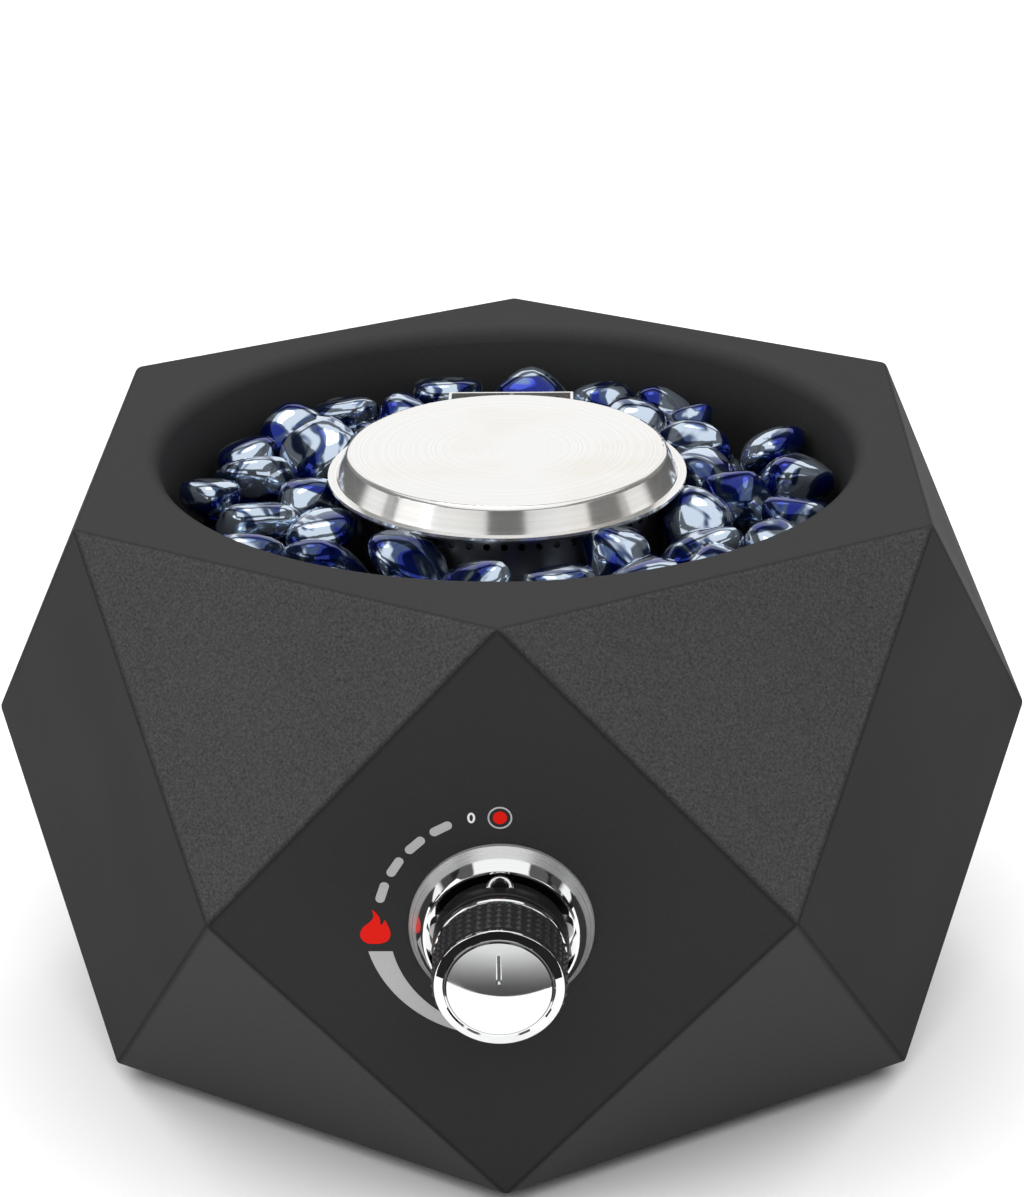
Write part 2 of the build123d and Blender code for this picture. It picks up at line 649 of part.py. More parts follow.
# Return spring between the thrust washer and the plug, drawn as the sleeve that it fills
with BuildPart() as stem_spring:
    with BuildSketch(valve_plane(COLLAR_END_Y + WASHER_T)):
        Circle(SPRING_R)
        Circle(SPRING_R - SPRING_WIRE, mode=Mode.SUBTRACT)
    extrude(amount=CHAMBER_L - COLLAR_T - WASHER_T)
save(stem_spring, "stem_spring")

# Valve screws, through bezel, face and bonnet into the ears
with BuildPart() as valve_screws:
    with BuildSketch(valve_plane(FACE_Y - BEZEL_FLOOR_T)):
        with Locations((VALVE_SCREW_X, 0), (-VALVE_SCREW_X, 0)):
            Circle(SCREW_HEAD_R)
    extrude(amount=-SCREW_HEAD_H)
    with BuildSketch(valve_plane(FACE_Y - BEZEL_FLOOR_T)):
        with Locations((VALVE_SCREW_X, 0), (-VALVE_SCREW_X, 0)):
            Circle(SCREW_R)
    extrude(amount=BEZEL_FLOOR_T + SHEET + BONNET_T + EAR_T - 2 * THREAD_GAP)
save(valve_screws, "valve_screws")

# Gas pipes: valve to jet, and inlet to valve
with BuildPart() as gas_pipe:
    with BuildSketch(valve_plane(OUTLET_END_Y - PIPE_DEPTH)):
        Circle(PIPE_R)
        Circle(PIPE_BORE_R, mode=Mode.SUBTRACT)
    extrude(amount=-JET_SOCKET_REACH - OUTLET_END_Y + 2 * PIPE_DEPTH)
save(gas_pipe, "gas_pipe")

INLET_END_Y = RIM_R - INLET_TAIL_L
with BuildPart() as inlet_pipe:
    pipe_top = Plane((0, PORT_Y, INLET_BOSS_Z + PIPE_DEPTH), x_dir=(1, 0, 0), z_dir=(0, 0, -1))
    with BuildLine() as pipe_run:
        FilletPolyline(
            pipe_top.origin,
            (0, PORT_Y, INLET_Z),
            (0, INLET_END_Y + PIPE_DEPTH, INLET_Z),
            radius=PIPE_BEND_R,
        )
    with BuildSketch(pipe_top):
        Circle(PIPE_R)
        Circle(PIPE_BORE_R, mode=Mode.SUBTRACT)
    sweep(path=pipe_run.wires()[0])
save(inlet_pipe, "inlet_pipe")

PIPE_MOUTHS = (
    valve_plane(OUTLET_END_Y),
    Plane((0, -JET_SOCKET_REACH, KNOB_Z), x_dir=(1, 0, 0), z_dir=(0, -1, 0)),
    Plane((0, PORT_Y, INLET_BOSS_Z), x_dir=(1, 0, 0), z_dir=(0, 0, -1)),
    Plane((0, INLET_END_Y, INLET_Z), x_dir=(1, 0, 0), z_dir=(0, -1, 0)),
)
with BuildPart() as pipe_nuts:
    for mouth in PIPE_MOUTHS:
        with BuildSketch(mouth):
            RegularPolygon(PIPE_NUT_AF / 2, SIDES, major_radius=False)
            Circle(PIPE_R + THREAD_GAP, mode=Mode.SUBTRACT)
        extrude(amount=PIPE_NUT_T)
save(pipe_nuts, "pipe_nuts")

# Gas inlet: a flared bulkhead fitting with its hexagon outside and its lock nut inside
with BuildPart() as gas_inlet:
    with BuildSketch(INLET_SECTION):
        Polygon(
            (INLET_BORE_R, -INLET_TAIL_L + PIPE_DEPTH + PIPE_BORE_R),
            (PIPE_BORE_R, -INLET_TAIL_L + PIPE_DEPTH + PIPE_BORE_R),
            (PIPE_BORE_R, -INLET_TAIL_L + PIPE_DEPTH),
            (PIPE_R + THREAD_GAP, -INLET_TAIL_L + PIPE_DEPTH),
            (PIPE_R + THREAD_GAP, -INLET_TAIL_L),
            (INLET_R, -INLET_TAIL_L),
            (INLET_R, INLET_HEX_T + INLET_THREAD_L),
            (INLET_NOSE_R, INLET_HEX_T + INLET_THREAD_L + INLET_NOSE_L),
            (INLET_BORE_R, INLET_HEX_T + INLET_THREAD_L + INLET_NOSE_L),
        )
    revolve(axis=INLET_AXIS)
    with BuildSketch(Plane((0, RIM_R, INLET_Z), x_dir=(1, 0, 0), z_dir=(0, 1, 0))):
        RegularPolygon(INLET_HEX_AF / 2, SIDES, major_radius=False)
        Circle(INLET_R, mode=Mode.SUBTRACT)
    extrude(amount=INLET_HEX_T)
save(gas_inlet, "gas_inlet")

with BuildPart() as inlet_locknut:
    with BuildSketch(Plane((0, RIM_R - SHEET, INLET_Z), x_dir=(1, 0, 0), z_dir=(0, -1, 0))):
        RegularPolygon(INLET_HEX_AF / 2, SIDES, major_radius=False)
        Circle(INLET_R + THREAD_GAP, mode=Mode.SUBTRACT)
    extrude(amount=INLET_NUT_T)
save(inlet_locknut, "inlet_locknut")

# Bezel: a chrome collar with a coned foot, whose floor is clamped by the valve screws
with BuildPart() as bezel:
    with BuildSketch(KNOB_SECTION):
        with BuildLine():
            Polyline(
                (BEZEL_BORE_R, BEZEL_H - BEZEL_ROUND),
                (BEZEL_BORE_R, BEZEL_FLOOR_T),
                (STEM_HOLE_R, BEZEL_FLOOR_T),
                (STEM_HOLE_R, 0),
                (BEZEL_R, 0),
                (BEZEL_R, BEZEL_EDGE_T),
                (BEZEL_COLLAR_R, BEZEL_CONE_H),
            )
            EllipticalCenterArc(
                (BEZEL_CREST_R, BEZEL_CONE_H), BEZEL_SHOULDER_W, BEZEL_H - BEZEL_CONE_H, arc_size=90
            )
            CenterArc((BEZEL_CREST_R, BEZEL_H - BEZEL_ROUND), BEZEL_ROUND, 90, 90)
        make_face()
    revolve(axis=KNOB_AXIS)
    with BuildSketch(KNOB_FACE):
        with Locations((VALVE_SCREW_X, 0), (-VALVE_SCREW_X, 0)):
            Circle(SCREW_R + SLIP_GAP)
    extrude(amount=OVERRUN, mode=Mode.SUBTRACT)
save(bezel, "bezel")

# Knob core: skirt with an index nub, barrel for ring and grip, bore with a flat
with BuildPart() as knob_core:
    with BuildSketch(KNOB_SECTION):
        Polygon(
            (0, KNOB_REAR),
            (KNOB_SKIRT_R, KNOB_REAR),
            (KNOB_SKIRT_R, KNOB_REAR + KNOB_SKIRT_L),
            (KNOB_CORE_R, KNOB_REAR + KNOB_SKIRT_L),
            (KNOB_CORE_R, KNOB_FRONT),
            (CAP_PIN_R + THREAD_GAP, KNOB_FRONT),
            (CAP_PIN_R + THREAD_GAP, KNOB_FRONT - CAP_PIN_L),
            (0, KNOB_FRONT - CAP_PIN_L),
        )
    revolve(axis=KNOB_AXIS)
    skirt_edges = knob_core.edges().filter_by(GeomType.CIRCLE).sort_by(SortBy.RADIUS)[-2:]
    fillet(skirt_edges, KNOB_SKIRT_ROUND)
    with BuildSketch(KNOB_FACE.offset(KNOB_REAR)):
        with Locations((0, KNOB_SKIRT_R)):
            Circle(NUB_R)
    extrude(amount=NUB_L)
    with BuildSketch(KNOB_FACE.offset(KNOB_REAR)):
        Circle(STEM_R + RUN_GAP)
        with Locations((0, STEM_R - STEM_FLAT + RUN_GAP)):
            Rectangle(4 * STEM_R, STEM_R, align=(Align.CENTER, Align.MIN), mode=Mode.SUBTRACT)
    extrude(amount=STEM_IN_KNOB, mode=Mode.SUBTRACT)
save(knob_core, "knob_core")

with BuildPart() as knob_ring:
    with BuildSketch(KNOB_FACE.offset(KNOB_REAR + KNOB_SKIRT_L)):
        Circle(RING_R)
        Circle(KNOB_CORE_R + THREAD_GAP, mode=Mode.SUBTRACT)
    extrude(amount=RING_T)
    rim = knob_ring.edges().filter_by(GeomType.CIRCLE).sort_by(SortBy.RADIUS)[-2:]
    fillet(rim, RING_ROUND)
save(knob_ring, "knob_ring")

with BuildPart() as knob_grip:
    with BuildSketch(KNOB_FACE.offset(KNOB_FRONT - GRIP_L)):
        Circle(GRIP_R)
        Circle(KNOB_CORE_R + THREAD_GAP, mode=Mode.SUBTRACT)
    extrude(amount=GRIP_L)
    rim = knob_grip.edges().filter_by(GeomType.CIRCLE).sort_by(SortBy.RADIUS)[-2:]
    fillet(rim, GRIP_ROUND)
save(knob_grip, "knob_grip")

# Knob cap: a bevelled rim and a groove about a crowned disc with a sunk pointer
CAP_FACE = KNOB_FRONT + CAP_T
CAP_BEVEL_R = CAP_R - CAP_BEVEL_W
CAP_DISC_R = CAP_BEVEL_R - CAP_GROOVE_W
CAP_LIP = KNOB_FRONT + CAP_EDGE_T + CAP_BEVEL_H
CROWN_R = (CAP_DISC_R**2 + CAP_CROWN**2) / (2 * CAP_CROWN)
with BuildPart() as cap_disc:
    with BuildSketch(KNOB_FACE.offset(KNOB_FRONT)):
        Circle(CAP_DISC_R)
    extrude(amount=CAP_T)
    with Locations((0, FACE_Y - CAP_FACE + CROWN_R, KNOB_Z)):
        Sphere(CROWN_R, mode=Mode.INTERSECT)

with BuildPart() as knob_cap:
    with BuildSketch(KNOB_SECTION):
        Polygon(
            (0, KNOB_FRONT - CAP_PIN_L),
            (CAP_PIN_R, KNOB_FRONT - CAP_PIN_L),
            (CAP_PIN_R, KNOB_FRONT),
            (CAP_R, KNOB_FRONT),
            (CAP_R, KNOB_FRONT + CAP_EDGE_T),
            (CAP_BEVEL_R, CAP_LIP),
            (CAP_BEVEL_R - CAP_GROOVE_DEPTH, CAP_LIP - CAP_GROOVE_DEPTH),
            (0, CAP_LIP - CAP_GROOVE_DEPTH),
        )
    revolve(axis=KNOB_AXIS)
    outer_edges = knob_cap.edges().filter_by(GeomType.CIRCLE).sort_by(SortBy.RADIUS)[-2:]
    fillet(outer_edges.sort_by(Axis.Y)[0], CAP_ROUND)
    add(cap_disc.part)
    with BuildSketch(KNOB_FACE.offset(CAP_FACE)):
        with Locations((0, POINTER_R)):
            SlotOverall(POINTER_L, POINTER_W, rotation=90)
    extrude(amount=-POINTER_DEPTH, taper=POINTER_TAPER, mode=Mode.SUBTRACT)
save(knob_cap, "knob_cap")

# Piezo igniter on the valve's pad
PIEZO_Z = KNOB_Z + PAD_RISE
PIEZO_END_Y = BARREL_END_Y - PIEZO_EAR_L
with BuildPart() as piezo_igniter:
    with BuildSketch(
        Plane((0, PIEZO_END_Y - PIEZO_L / 2 + PIEZO_EAR_L, PIEZO_Z), x_dir=(1, 0, 0), z_dir=(0, 0, 1))
    ):
        RectangleRounded(PIEZO_W, PIEZO_L, PIEZO_ROUND)
        with Locations((0, PIEZO_L / 2 - PIEZO_EAR_L / 2)):
            Circle(SCREW_R + SLIP_GAP, mode=Mode.SUBTRACT)
    extrude(amount=PIEZO_EAR_T)
    with BuildSketch(
        Plane((0, PIEZO_END_Y - (PIEZO_L - PIEZO_EAR_L) / 2, PIEZO_Z), x_dir=(1, 0, 0), z_dir=(0, 0, 1))
    ):
        RectangleRounded(PIEZO_W, PIEZO_L - PIEZO_EAR_L, PIEZO_ROUND)
    extrude(amount=PIEZO_H)
    terminal_z = PIEZO_Z + PIEZO_H - 2 * TERMINAL_R
    with BuildSketch(Plane((0, PIEZO_END_Y, terminal_z), x_dir=(-1, 0, 0), z_dir=(0, 1, 0))):
        Circle(TERMINAL_R)
    extrude(amount=TERMINAL_L)
save(piezo_igniter, "piezo_igniter")

with BuildPart() as igniter_screw:
    with BuildSketch(
        Plane(
            (0, BARREL_END_Y - PIEZO_EAR_L / 2, PIEZO_Z + PIEZO_EAR_T),
            x_dir=(1, 0, 0),
            z_dir=(0, 0, 1),
        )
    ):
        Circle(SCREW_HEAD_R)
    extrude(amount=SCREW_HEAD_H)
    with BuildSketch(
        Plane(
            (0, BARREL_END_Y - PIEZO_EAR_L / 2, PIEZO_Z + PIEZO_EAR_T),
            x_dir=(1, 0, 0),
            z_dir=(0, 0, 1),
        )
    ):
        Circle(SCREW_R)
    extrude(amount=-SCREW_L)
save(igniter_screw, "igniter_screw")

# Electrode: a rod in a ceramic insulator, held through the bowl floor by a push-on clip
with BuildPart() as electrode_insulator:
    with BuildSketch(Plane((0, ELECTRODE_Y, FLOOR_Z), x_dir=(1, 0, 0), z_dir=(0, -1, 0))):
        Polygon(
            (ROD_R + RUN_GAP, -INSULATOR_DROP),
            (INSULATOR_R, -INSULATOR_DROP),
            (INSULATOR_R, 0),
            (INSULATOR_COLLAR_R, 0),
            (INSULATOR_COLLAR_R, INSULATOR_COLLAR_T),
            (INSULATOR_R, INSULATOR_COLLAR_T),
            (INSULATOR_R, INSULATOR_RISE),
            (ROD_R + RUN_GAP, INSULATOR_RISE),
        )
    revolve(axis=Axis((0, ELECTRODE_Y, 0), (0, 0, 1)))
save(electrode_insulator, "electrode_insulator")

with BuildPart() as electrode_clip:
    with BuildSketch(Plane((0, ELECTRODE_Y, FLOOR_Z - SHEET), x_dir=(1, 0, 0), z_dir=(0, 0, -1))):
        Circle(CLIP_R)
        Circle(INSULATOR_R + THREAD_GAP, mode=Mode.SUBTRACT)
    extrude(amount=CLIP_T)
save(electrode_clip, "electrode_clip")

ROD_FOOT_Z = FLOOR_Z - INSULATOR_DROP - ROD_DROP
with BuildPart() as electrode_rod:
    rod_foot = Plane((0, ELECTRODE_Y, ROD_FOOT_Z), x_dir=(1, 0, 0), z_dir=(0, 0, 1))
    with BuildLine() as rod_run:
        FilletPolyline(
            rod_foot.origin,
            (0, ELECTRODE_Y, RIM_Z - DRUM_PORT_DROP),
            (0, DRUM_R + ROD_TIP_GAP, RIM_Z - DRUM_PORT_DROP),
            radius=ROD_BEND_R,
        )
    with BuildSketch(rod_foot):
        Circle(ROD_R)
    sweep(path=rod_run.wires()[0])
save(electrode_rod, "electrode_rod")

# Igniter wire: from the igniter's terminal round the mixing tube and up to the electrode
WIRE_START = (0, PIEZO_END_Y + TERMINAL_L, terminal_z)
WIRE_ROUTE = (
    WIRE_START,
    (0, WIRE_START[1] + 32, terminal_z),
    (22, WIRE_START[1] + 66, terminal_z - 6),
    (30, WIRE_START[1] + 110, terminal_z - 12),
    (22, WIRE_START[1] + 150, terminal_z - 16),
    (0, ELECTRODE_Y, ROD_FOOT_Z - 28),
    (0, ELECTRODE_Y, ROD_FOOT_Z),
)
bend_radii = []
for before, at, after in zip(WIRE_ROUTE, WIRE_ROUTE[1:], WIRE_ROUTE[2:]):
    come = Vector(*at) - Vector(*before)
    leave = Vector(*after) - Vector(*at)
    half_turn = math.radians(come.get_angle(leave)) / 2
    bend_radii.append(WIRE_BEND_SHARE * min(come.length, leave.length) / math.tan(half_turn))
print("igniter wire bend radii", [round(r, 1) for r in bend_radii])
with BuildPart() as igniter_wire:
    with BuildLine() as wire_run:
        FilletPolyline(*WIRE_ROUTE, radius=bend_radii)
    with BuildSketch(Plane(WIRE_START, x_dir=(-1, 0, 0), z_dir=(0, 1, 0))):
        Circle(WIRE_R)
    sweep(path=wire_run.wires()[0])
save(igniter_wire, "igniter_wire")

# Guard: a perforated strip folded round the electrode, riveted to the bowl floor
with BuildPart() as igniter_guard:
    with BuildSketch(Plane.XY.offset(FLOOR_Z)):
        with Locations((0, GUARD_Y)):
            Rectangle(GUARD_W, GUARD_WING, align=(Align.CENTER, Align.MAX))
        with Locations((0, GUARD_Y - GUARD_SHEET)):
            Rectangle(
                GUARD_W - 2 * GUARD_SHEET,
                GUARD_WING,
                align=(Align.CENTER, Align.MAX),
                mode=Mode.SUBTRACT,
            )
    extrude(amount=GUARD_H)
    with BuildSketch(Plane.XY.offset(FLOOR_Z)):
        with Locations((0, GUARD_Y)):
            Rectangle(GUARD_W, GUARD_FOOT_L, align=(Align.CENTER, Align.MIN))
        with Locations((RIVET_X, GUARD_Y + GUARD_FOOT_L / 2), (-RIVET_X, GUARD_Y + GUARD_FOOT_L / 2)):
            Circle(RIVET_R + THREAD_GAP, mode=Mode.SUBTRACT)
    extrude(amount=GUARD_SHEET)
    rows_mid = FLOOR_Z + GUARD_H - GUARD_PORT_DROP - GUARD_PORT_PITCH * (GUARD_PORT_ROWS - 1) / 2
    with BuildSketch(Plane((0, GUARD_Y, rows_mid), x_dir=(-1, 0, 0), z_dir=(0, 1, 0))):
        with GridLocations(GUARD_PORT_PITCH, GUARD_PORT_PITCH, GUARD_PORTS, GUARD_PORT_ROWS):
            Circle(GUARD_PORT_R)
    extrude(amount=2 * GUARD_SHEET, both=True, mode=Mode.SUBTRACT)
save(igniter_guard, "igniter_guard")

with BuildPart() as guard_rivets:
    for x in (RIVET_X, -RIVET_X):
        rivet_foot = (x, GUARD_Y + GUARD_FOOT_L / 2, FLOOR_Z - SHEET)
        with BuildSketch(Plane(rivet_foot, x_dir=(1, 0, 0), z_dir=(0, -1, 0))):
            Polygon(
                (0, -RIVET_HEAD_T),
                (RIVET_HEAD_R, -RIVET_HEAD_T),
                (RIVET_HEAD_R, 0),
                (RIVET_R, 0),
                (RIVET_R, SHEET + GUARD_SHEET),
                (RIVET_HEAD_R, SHEET + GUARD_SHEET),
                (RIVET_R, SHEET + GUARD_SHEET + RIVET_HEAD_T),
                (0, SHEET + GUARD_SHEET + RIVET_HEAD_T),
            )
        revolve(axis=Axis(rivet_foot, (0, 0, 1)))
save(guard_rivets, "guard_rivets")


def pebble_flat(size):
    """Reach of a pebble's flat top or bottom from its centre."""
    return size * math.cos(math.pi / PEBBLE_SIDES) - PEBBLE_H / 2 * math.tan(math.radians(PEBBLE_TAPER))


def pebble_layer(lead, outer_r, guard_back, below):
    """Centres and radii of one layer: between burner and bowl, off the guard, on the layer below."""
    placed = []
    for least, spread in ((PEBBLE_R, PEBBLE_SPREAD), (CHIP_R, CHIP_SPREAD)):
        for step in range(PEBBLE_STEPS):
            turn = 2 * math.pi * step / PEBBLE_STEPS + lead
            for track in range(PEBBLE_TRACKS):
                size = least + spread * ((GOLDEN_SHARE * len(placed) + lead) % 1)
                near = DRUM_R + size + SLIP_GAP
                far = outer_r - size - SLIP_GAP
                reach = far - (far - near) * track / (PEBBLE_TRACKS - 1)
                x = reach * math.cos(turn)
                y = reach * math.sin(turn)
                off_x = max(abs(x) - GUARD_W / 2, 0)
                off_y = max(y - guard_back, -y, 0)
                off_guard = math.hypot(off_x, off_y) > size + SLIP_GAP
                rests = not below or any(
                    math.hypot(x - px, y - py) < pebble_flat(size) + pebble_flat(p) for px, py, p in below
                )
                free = all(math.hypot(x - px, y - py) > size + p + SLIP_GAP for px, py, p in placed)
                if off_guard and rests and free:
                    placed.append((x, y, size))
    return placed


# Fire glass: two layers of pebbles, flat side on flat side
BED_WALL_R = FLOOR_R + (MOUTH_R - FLOOR_R) * PEBBLE_H / BOWL_DEPTH
layer = []
for name, level, lead, outer_r, guard_back in (
    ("fire_glass_lower", FLOOR_Z, 0.0, FLOOR_R - FLOOR_ROUND / 4, GUARD_Y + GUARD_FOOT_L),
    ("fire_glass_upper", FLOOR_Z + PEBBLE_H, 1.0, BED_WALL_R, GUARD_Y),
):
    layer = pebble_layer(lead, outer_r, guard_back, layer)
    with BuildPart() as fire_glass:
        with BuildSketch(Plane.XY.offset(level + PEBBLE_H / 2)):
            for x, y, size in layer:
                with Locations((x, y)):
                    RegularPolygon(size, PEBBLE_SIDES, rotation=math.degrees(x))
        extrude(amount=PEBBLE_H / 2, both=True, taper=PEBBLE_TAPER)
    save(fire_glass, name)
    print(name, len(fire_glass.solids()), "pebbles")
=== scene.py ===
"""Finishes and fine pieces for a tabletop gas fire pit.

The packed model is the frame. Every piece here is made in metres, in its place in that frame,
and rides on one of its bodies.
"""

import math
import random

import bmesh
import bpy
from bpy.props import FloatProperty, FloatVectorProperty, IntProperty, PointerProperty
from bpy.types import Operator, Panel, PropertyGroup
from mathutils import Matrix, Vector


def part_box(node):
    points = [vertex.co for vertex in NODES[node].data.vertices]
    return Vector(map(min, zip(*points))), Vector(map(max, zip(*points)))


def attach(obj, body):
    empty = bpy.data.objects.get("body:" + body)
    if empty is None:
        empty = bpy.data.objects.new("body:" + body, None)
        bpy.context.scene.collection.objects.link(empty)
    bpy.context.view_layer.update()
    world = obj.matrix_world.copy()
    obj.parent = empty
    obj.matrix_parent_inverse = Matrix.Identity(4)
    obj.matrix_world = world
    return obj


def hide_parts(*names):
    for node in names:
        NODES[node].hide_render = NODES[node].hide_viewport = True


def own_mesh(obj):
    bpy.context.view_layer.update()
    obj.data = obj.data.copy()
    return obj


bl_info = {
    "name": "Gas fire pit",
    "version": (1, 0, 0),
    "blender": (4, 5, 0),
    "location": "3D View > Sidebar > Fire pit",
    "description": "Finishes, fire glass, knob and dial of a tabletop gas fire pit",
    "category": "Object",
}

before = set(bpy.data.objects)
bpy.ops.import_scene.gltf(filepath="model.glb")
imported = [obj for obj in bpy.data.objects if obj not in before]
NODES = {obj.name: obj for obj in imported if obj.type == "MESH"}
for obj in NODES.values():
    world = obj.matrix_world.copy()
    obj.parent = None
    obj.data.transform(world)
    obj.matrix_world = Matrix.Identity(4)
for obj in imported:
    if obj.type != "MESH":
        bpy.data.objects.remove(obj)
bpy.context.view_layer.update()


def low(node):
    """Lowest corner of a packed node."""
    return Vector(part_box(node)[0])


def high(node):
    """Highest corner of a packed node."""
    return Vector(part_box(node)[1])


# Places read from the packed model
SIDES = 6
HALF_STEP = math.pi / SIDES
PANEL_Y = high("bezel").y
KNOB_Z = (low("bezel").z + high("bezel").z) / 2
DECK_Z = high("bowl_deck").z
HALF_H = DECK_Z - KNOB_Z
RIM_R = -PANEL_Y
GIRDLE_R = RIM_R / math.cos(HALF_STEP)
EDGE_MID_R = RIM_R * math.cos(HALF_STEP)
CORE_R = high("knob_core").z - KNOB_Z
KNOB_AXIS = Vector((0.0, -1.0, 0.0))
KNOB_SEAT = Vector((0.0, PANEL_Y, KNOB_Z))

OWN = "firepit_"  # Starts the name of each material of the part
FULL_TURN = 2 * math.pi
MERGE = 1e-6  # Points nearer than this become one
NEAR = 1e-5  # Slack where verts and edges are picked by their place

# What the settings for lengths and colours share
LENGTH = {"unit": "LENGTH", "precision": 5}
COLOUR = {"subtype": "COLOR"}


class FirepitBody(PropertyGroup):
    """Painted sheet steel of skin, deck, bowl and base."""

    paint: FloatVectorProperty(
        name="Paint", description="Colour of the powder coat", default=(0.0515, 0.0515, 0.0522), **COLOUR
    )
    grain: FloatProperty(name="Grain", description="Size of the sandy grain", default=0.0008, **LENGTH)
    # Painted shade: width of the dark line painted along each folded edge
    crease: FloatProperty(
        name="Crease", description="Width of the shaded line at an edge", default=0.0011, **LENGTH
    )
    # Painted shade: the upright facets and the deck are painted darker than the leaning facets, standing in
    # for the light that falls on each
    upright: FloatProperty(
        name="Upright tone", description="Upright facets against the leaning ones", min=0, max=2, default=0.6
    )
    level: FloatProperty(
        name="Deck tone", description="Deck against the leaning facets", min=0, max=2, default=0.69
    )
    # How far the bowl is darkened below the deck
    soot: FloatProperty(
        name="Soot", description="How far soot darkens the bowl", subtype="FACTOR", min=0, max=1, default=0.75
    )


class FirepitBurner(PropertyGroup):
    """Stainless sheet of lid and guard."""

    steel: FloatVectorProperty(
        name="Steel", description="Colour of the stainless sheet", default=(0.74, 0.735, 0.72), **COLOUR
    )
    heat: FloatVectorProperty(
        name="Heat tint", description="Straw colour that heat leaves", default=(0.62, 0.52, 0.38), **COLOUR
    )
    line_pitch: FloatProperty(
        name="Line pitch", description="Pitch of the spun lines", default=0.0007, **LENGTH
    )


class FirepitGlass(PropertyGroup):
    """Tumbled glass pebbles in the bowl."""

    cobalt: FloatVectorProperty(
        name="Cobalt", description="Colour where the glass is bare", default=(0.001, 0.012, 0.18), **COLOUR
    )
    lustre: FloatVectorProperty(
        name="Lustre", description="Colour of the mirrored skin", default=(0.52, 0.61, 0.73), **COLOUR
    )
    dusk: FloatVectorProperty(
        name="Dusk", description="Colour where the skin is thin", default=(0.035, 0.062, 0.14), **COLOUR
    )
    swell: FloatProperty(
        name="Swell", description="Pebble against its room", subtype="FACTOR", min=0.8, max=1.4, default=1.06
    )
    facets: IntProperty(name="Facets", description="Flats on a pebble", min=6, max=30, default=9)
    blunt: FloatProperty(
        name="Bluntness", description="Lower rounds the edges more", min=2, max=40, default=5
    )
    seed: IntProperty(name="Seed", description="Start of the pebble shapes", default=7)


class FirepitKnob(PropertyGroup):
    """Bezel and knob."""

    chrome: FloatVectorProperty(
        name="Chrome", description="Colour of the chrome plate", default=(0.82, 0.825, 0.83), **COLOUR
    )
    rubber: FloatVectorProperty(
        name="Rubber", description="Colour of the grip", default=(0.012, 0.012, 0.013), **COLOUR
    )
    plastic: FloatVectorProperty(
        name="Plastic", description="Colour of the knob's core", default=(0.008, 0.008, 0.009), **COLOUR
    )
    cone_w: FloatProperty(
        name="Satin width", description="Width of the bezel's satin foot", default=0.0027, **LENGTH
    )
    crest_h: FloatProperty(
        name="Crest height", description="Bezel's crest before the panel", default=0.0088, **LENGTH
    )
    crest_round: FloatProperty(
        name="Crest round", description="Round over the bezel's crest", default=0.0005, **LENGTH
    )
    stud_rows: IntProperty(name="Stud rows", description="Studs along the grip", min=2, max=12, default=5)
    studs: IntProperty(name="Studs", description="Studs round the grip", min=12, max=90, default=39)
    stud_h: FloatProperty(
        name="Stud height", description="How far the studs stand out", default=0.0008, **LENGTH
    )
    index_wire: FloatProperty(
        name="Index width", description="Width of the chrome index arch", default=0.0018, **LENGTH
    )
    index_r: FloatProperty(
        name="Index radius", description="Radius of the index arch", default=0.0033, **LENGTH
    )
    index_l: FloatProperty(
        name="Index place", description="Arch before the knob's rear", default=0.0036, **LENGTH
    )


class FirepitDial(PropertyGroup):
    """Marks printed round the knob."""

    ring_r: FloatProperty(
        name="Mark circle", description="Radius that the marks lie on", default=0.0382, **LENGTH
    )
    film: FloatProperty(name="Ink film", description="Thickness of the print", default=0.00012, **LENGTH)
    dash_l: FloatProperty(name="Dash length", description="Length of a dash", default=0.0073, **LENGTH)
    dash_w: FloatProperty(name="Dash width", description="Width of a dash", default=0.0029, **LENGTH)
    dashes: IntProperty(name="Dashes", description="Dashes from off to high", min=1, max=9, default=4)
    dot_r: FloatProperty(name="Dot radius", description="Radius of the off dot", default=0.0021, **LENGTH)
    halo_r: FloatProperty(name="Halo radius", description="Radius round the dot", default=0.0037, **LENGTH)
    halo_w: FloatProperty(name="Halo width", description="Line width of the halo", default=0.0005, **LENGTH)
    numeral_h: FloatProperty(
        name="Numeral height", description="Height of the zero", default=0.0035, **LENGTH
    )
    numeral_w: FloatProperty(
        name="Numeral stroke", description="Stroke of the zero", default=0.00062, **LENGTH
    )
    flame_h: FloatProperty(
        name="Flame height", description="Height of the high mark", default=0.0118, **LENGTH
    )
    sweep_w: FloatProperty(
        name="Sweep width", description="Width where the sweep starts", default=0.0078, **LENGTH
    )
    sweep_end_w: FloatProperty(
        name="Sweep end", description="Width where the sweep ends", default=0.0028, **LENGTH
    )
    grey: FloatVectorProperty(
        name="Grey ink", description="Halo, dashes and sweep", default=(0.44, 0.44, 0.44), **COLOUR
    )
    white: FloatVectorProperty(
        name="White ink", description="Numeral", default=(0.80, 0.80, 0.80), **COLOUR
    )
    red: FloatVectorProperty(
        name="Red ink", description="Dot and flame", default=(0.72, 0.008, 0.002), **COLOUR
    )


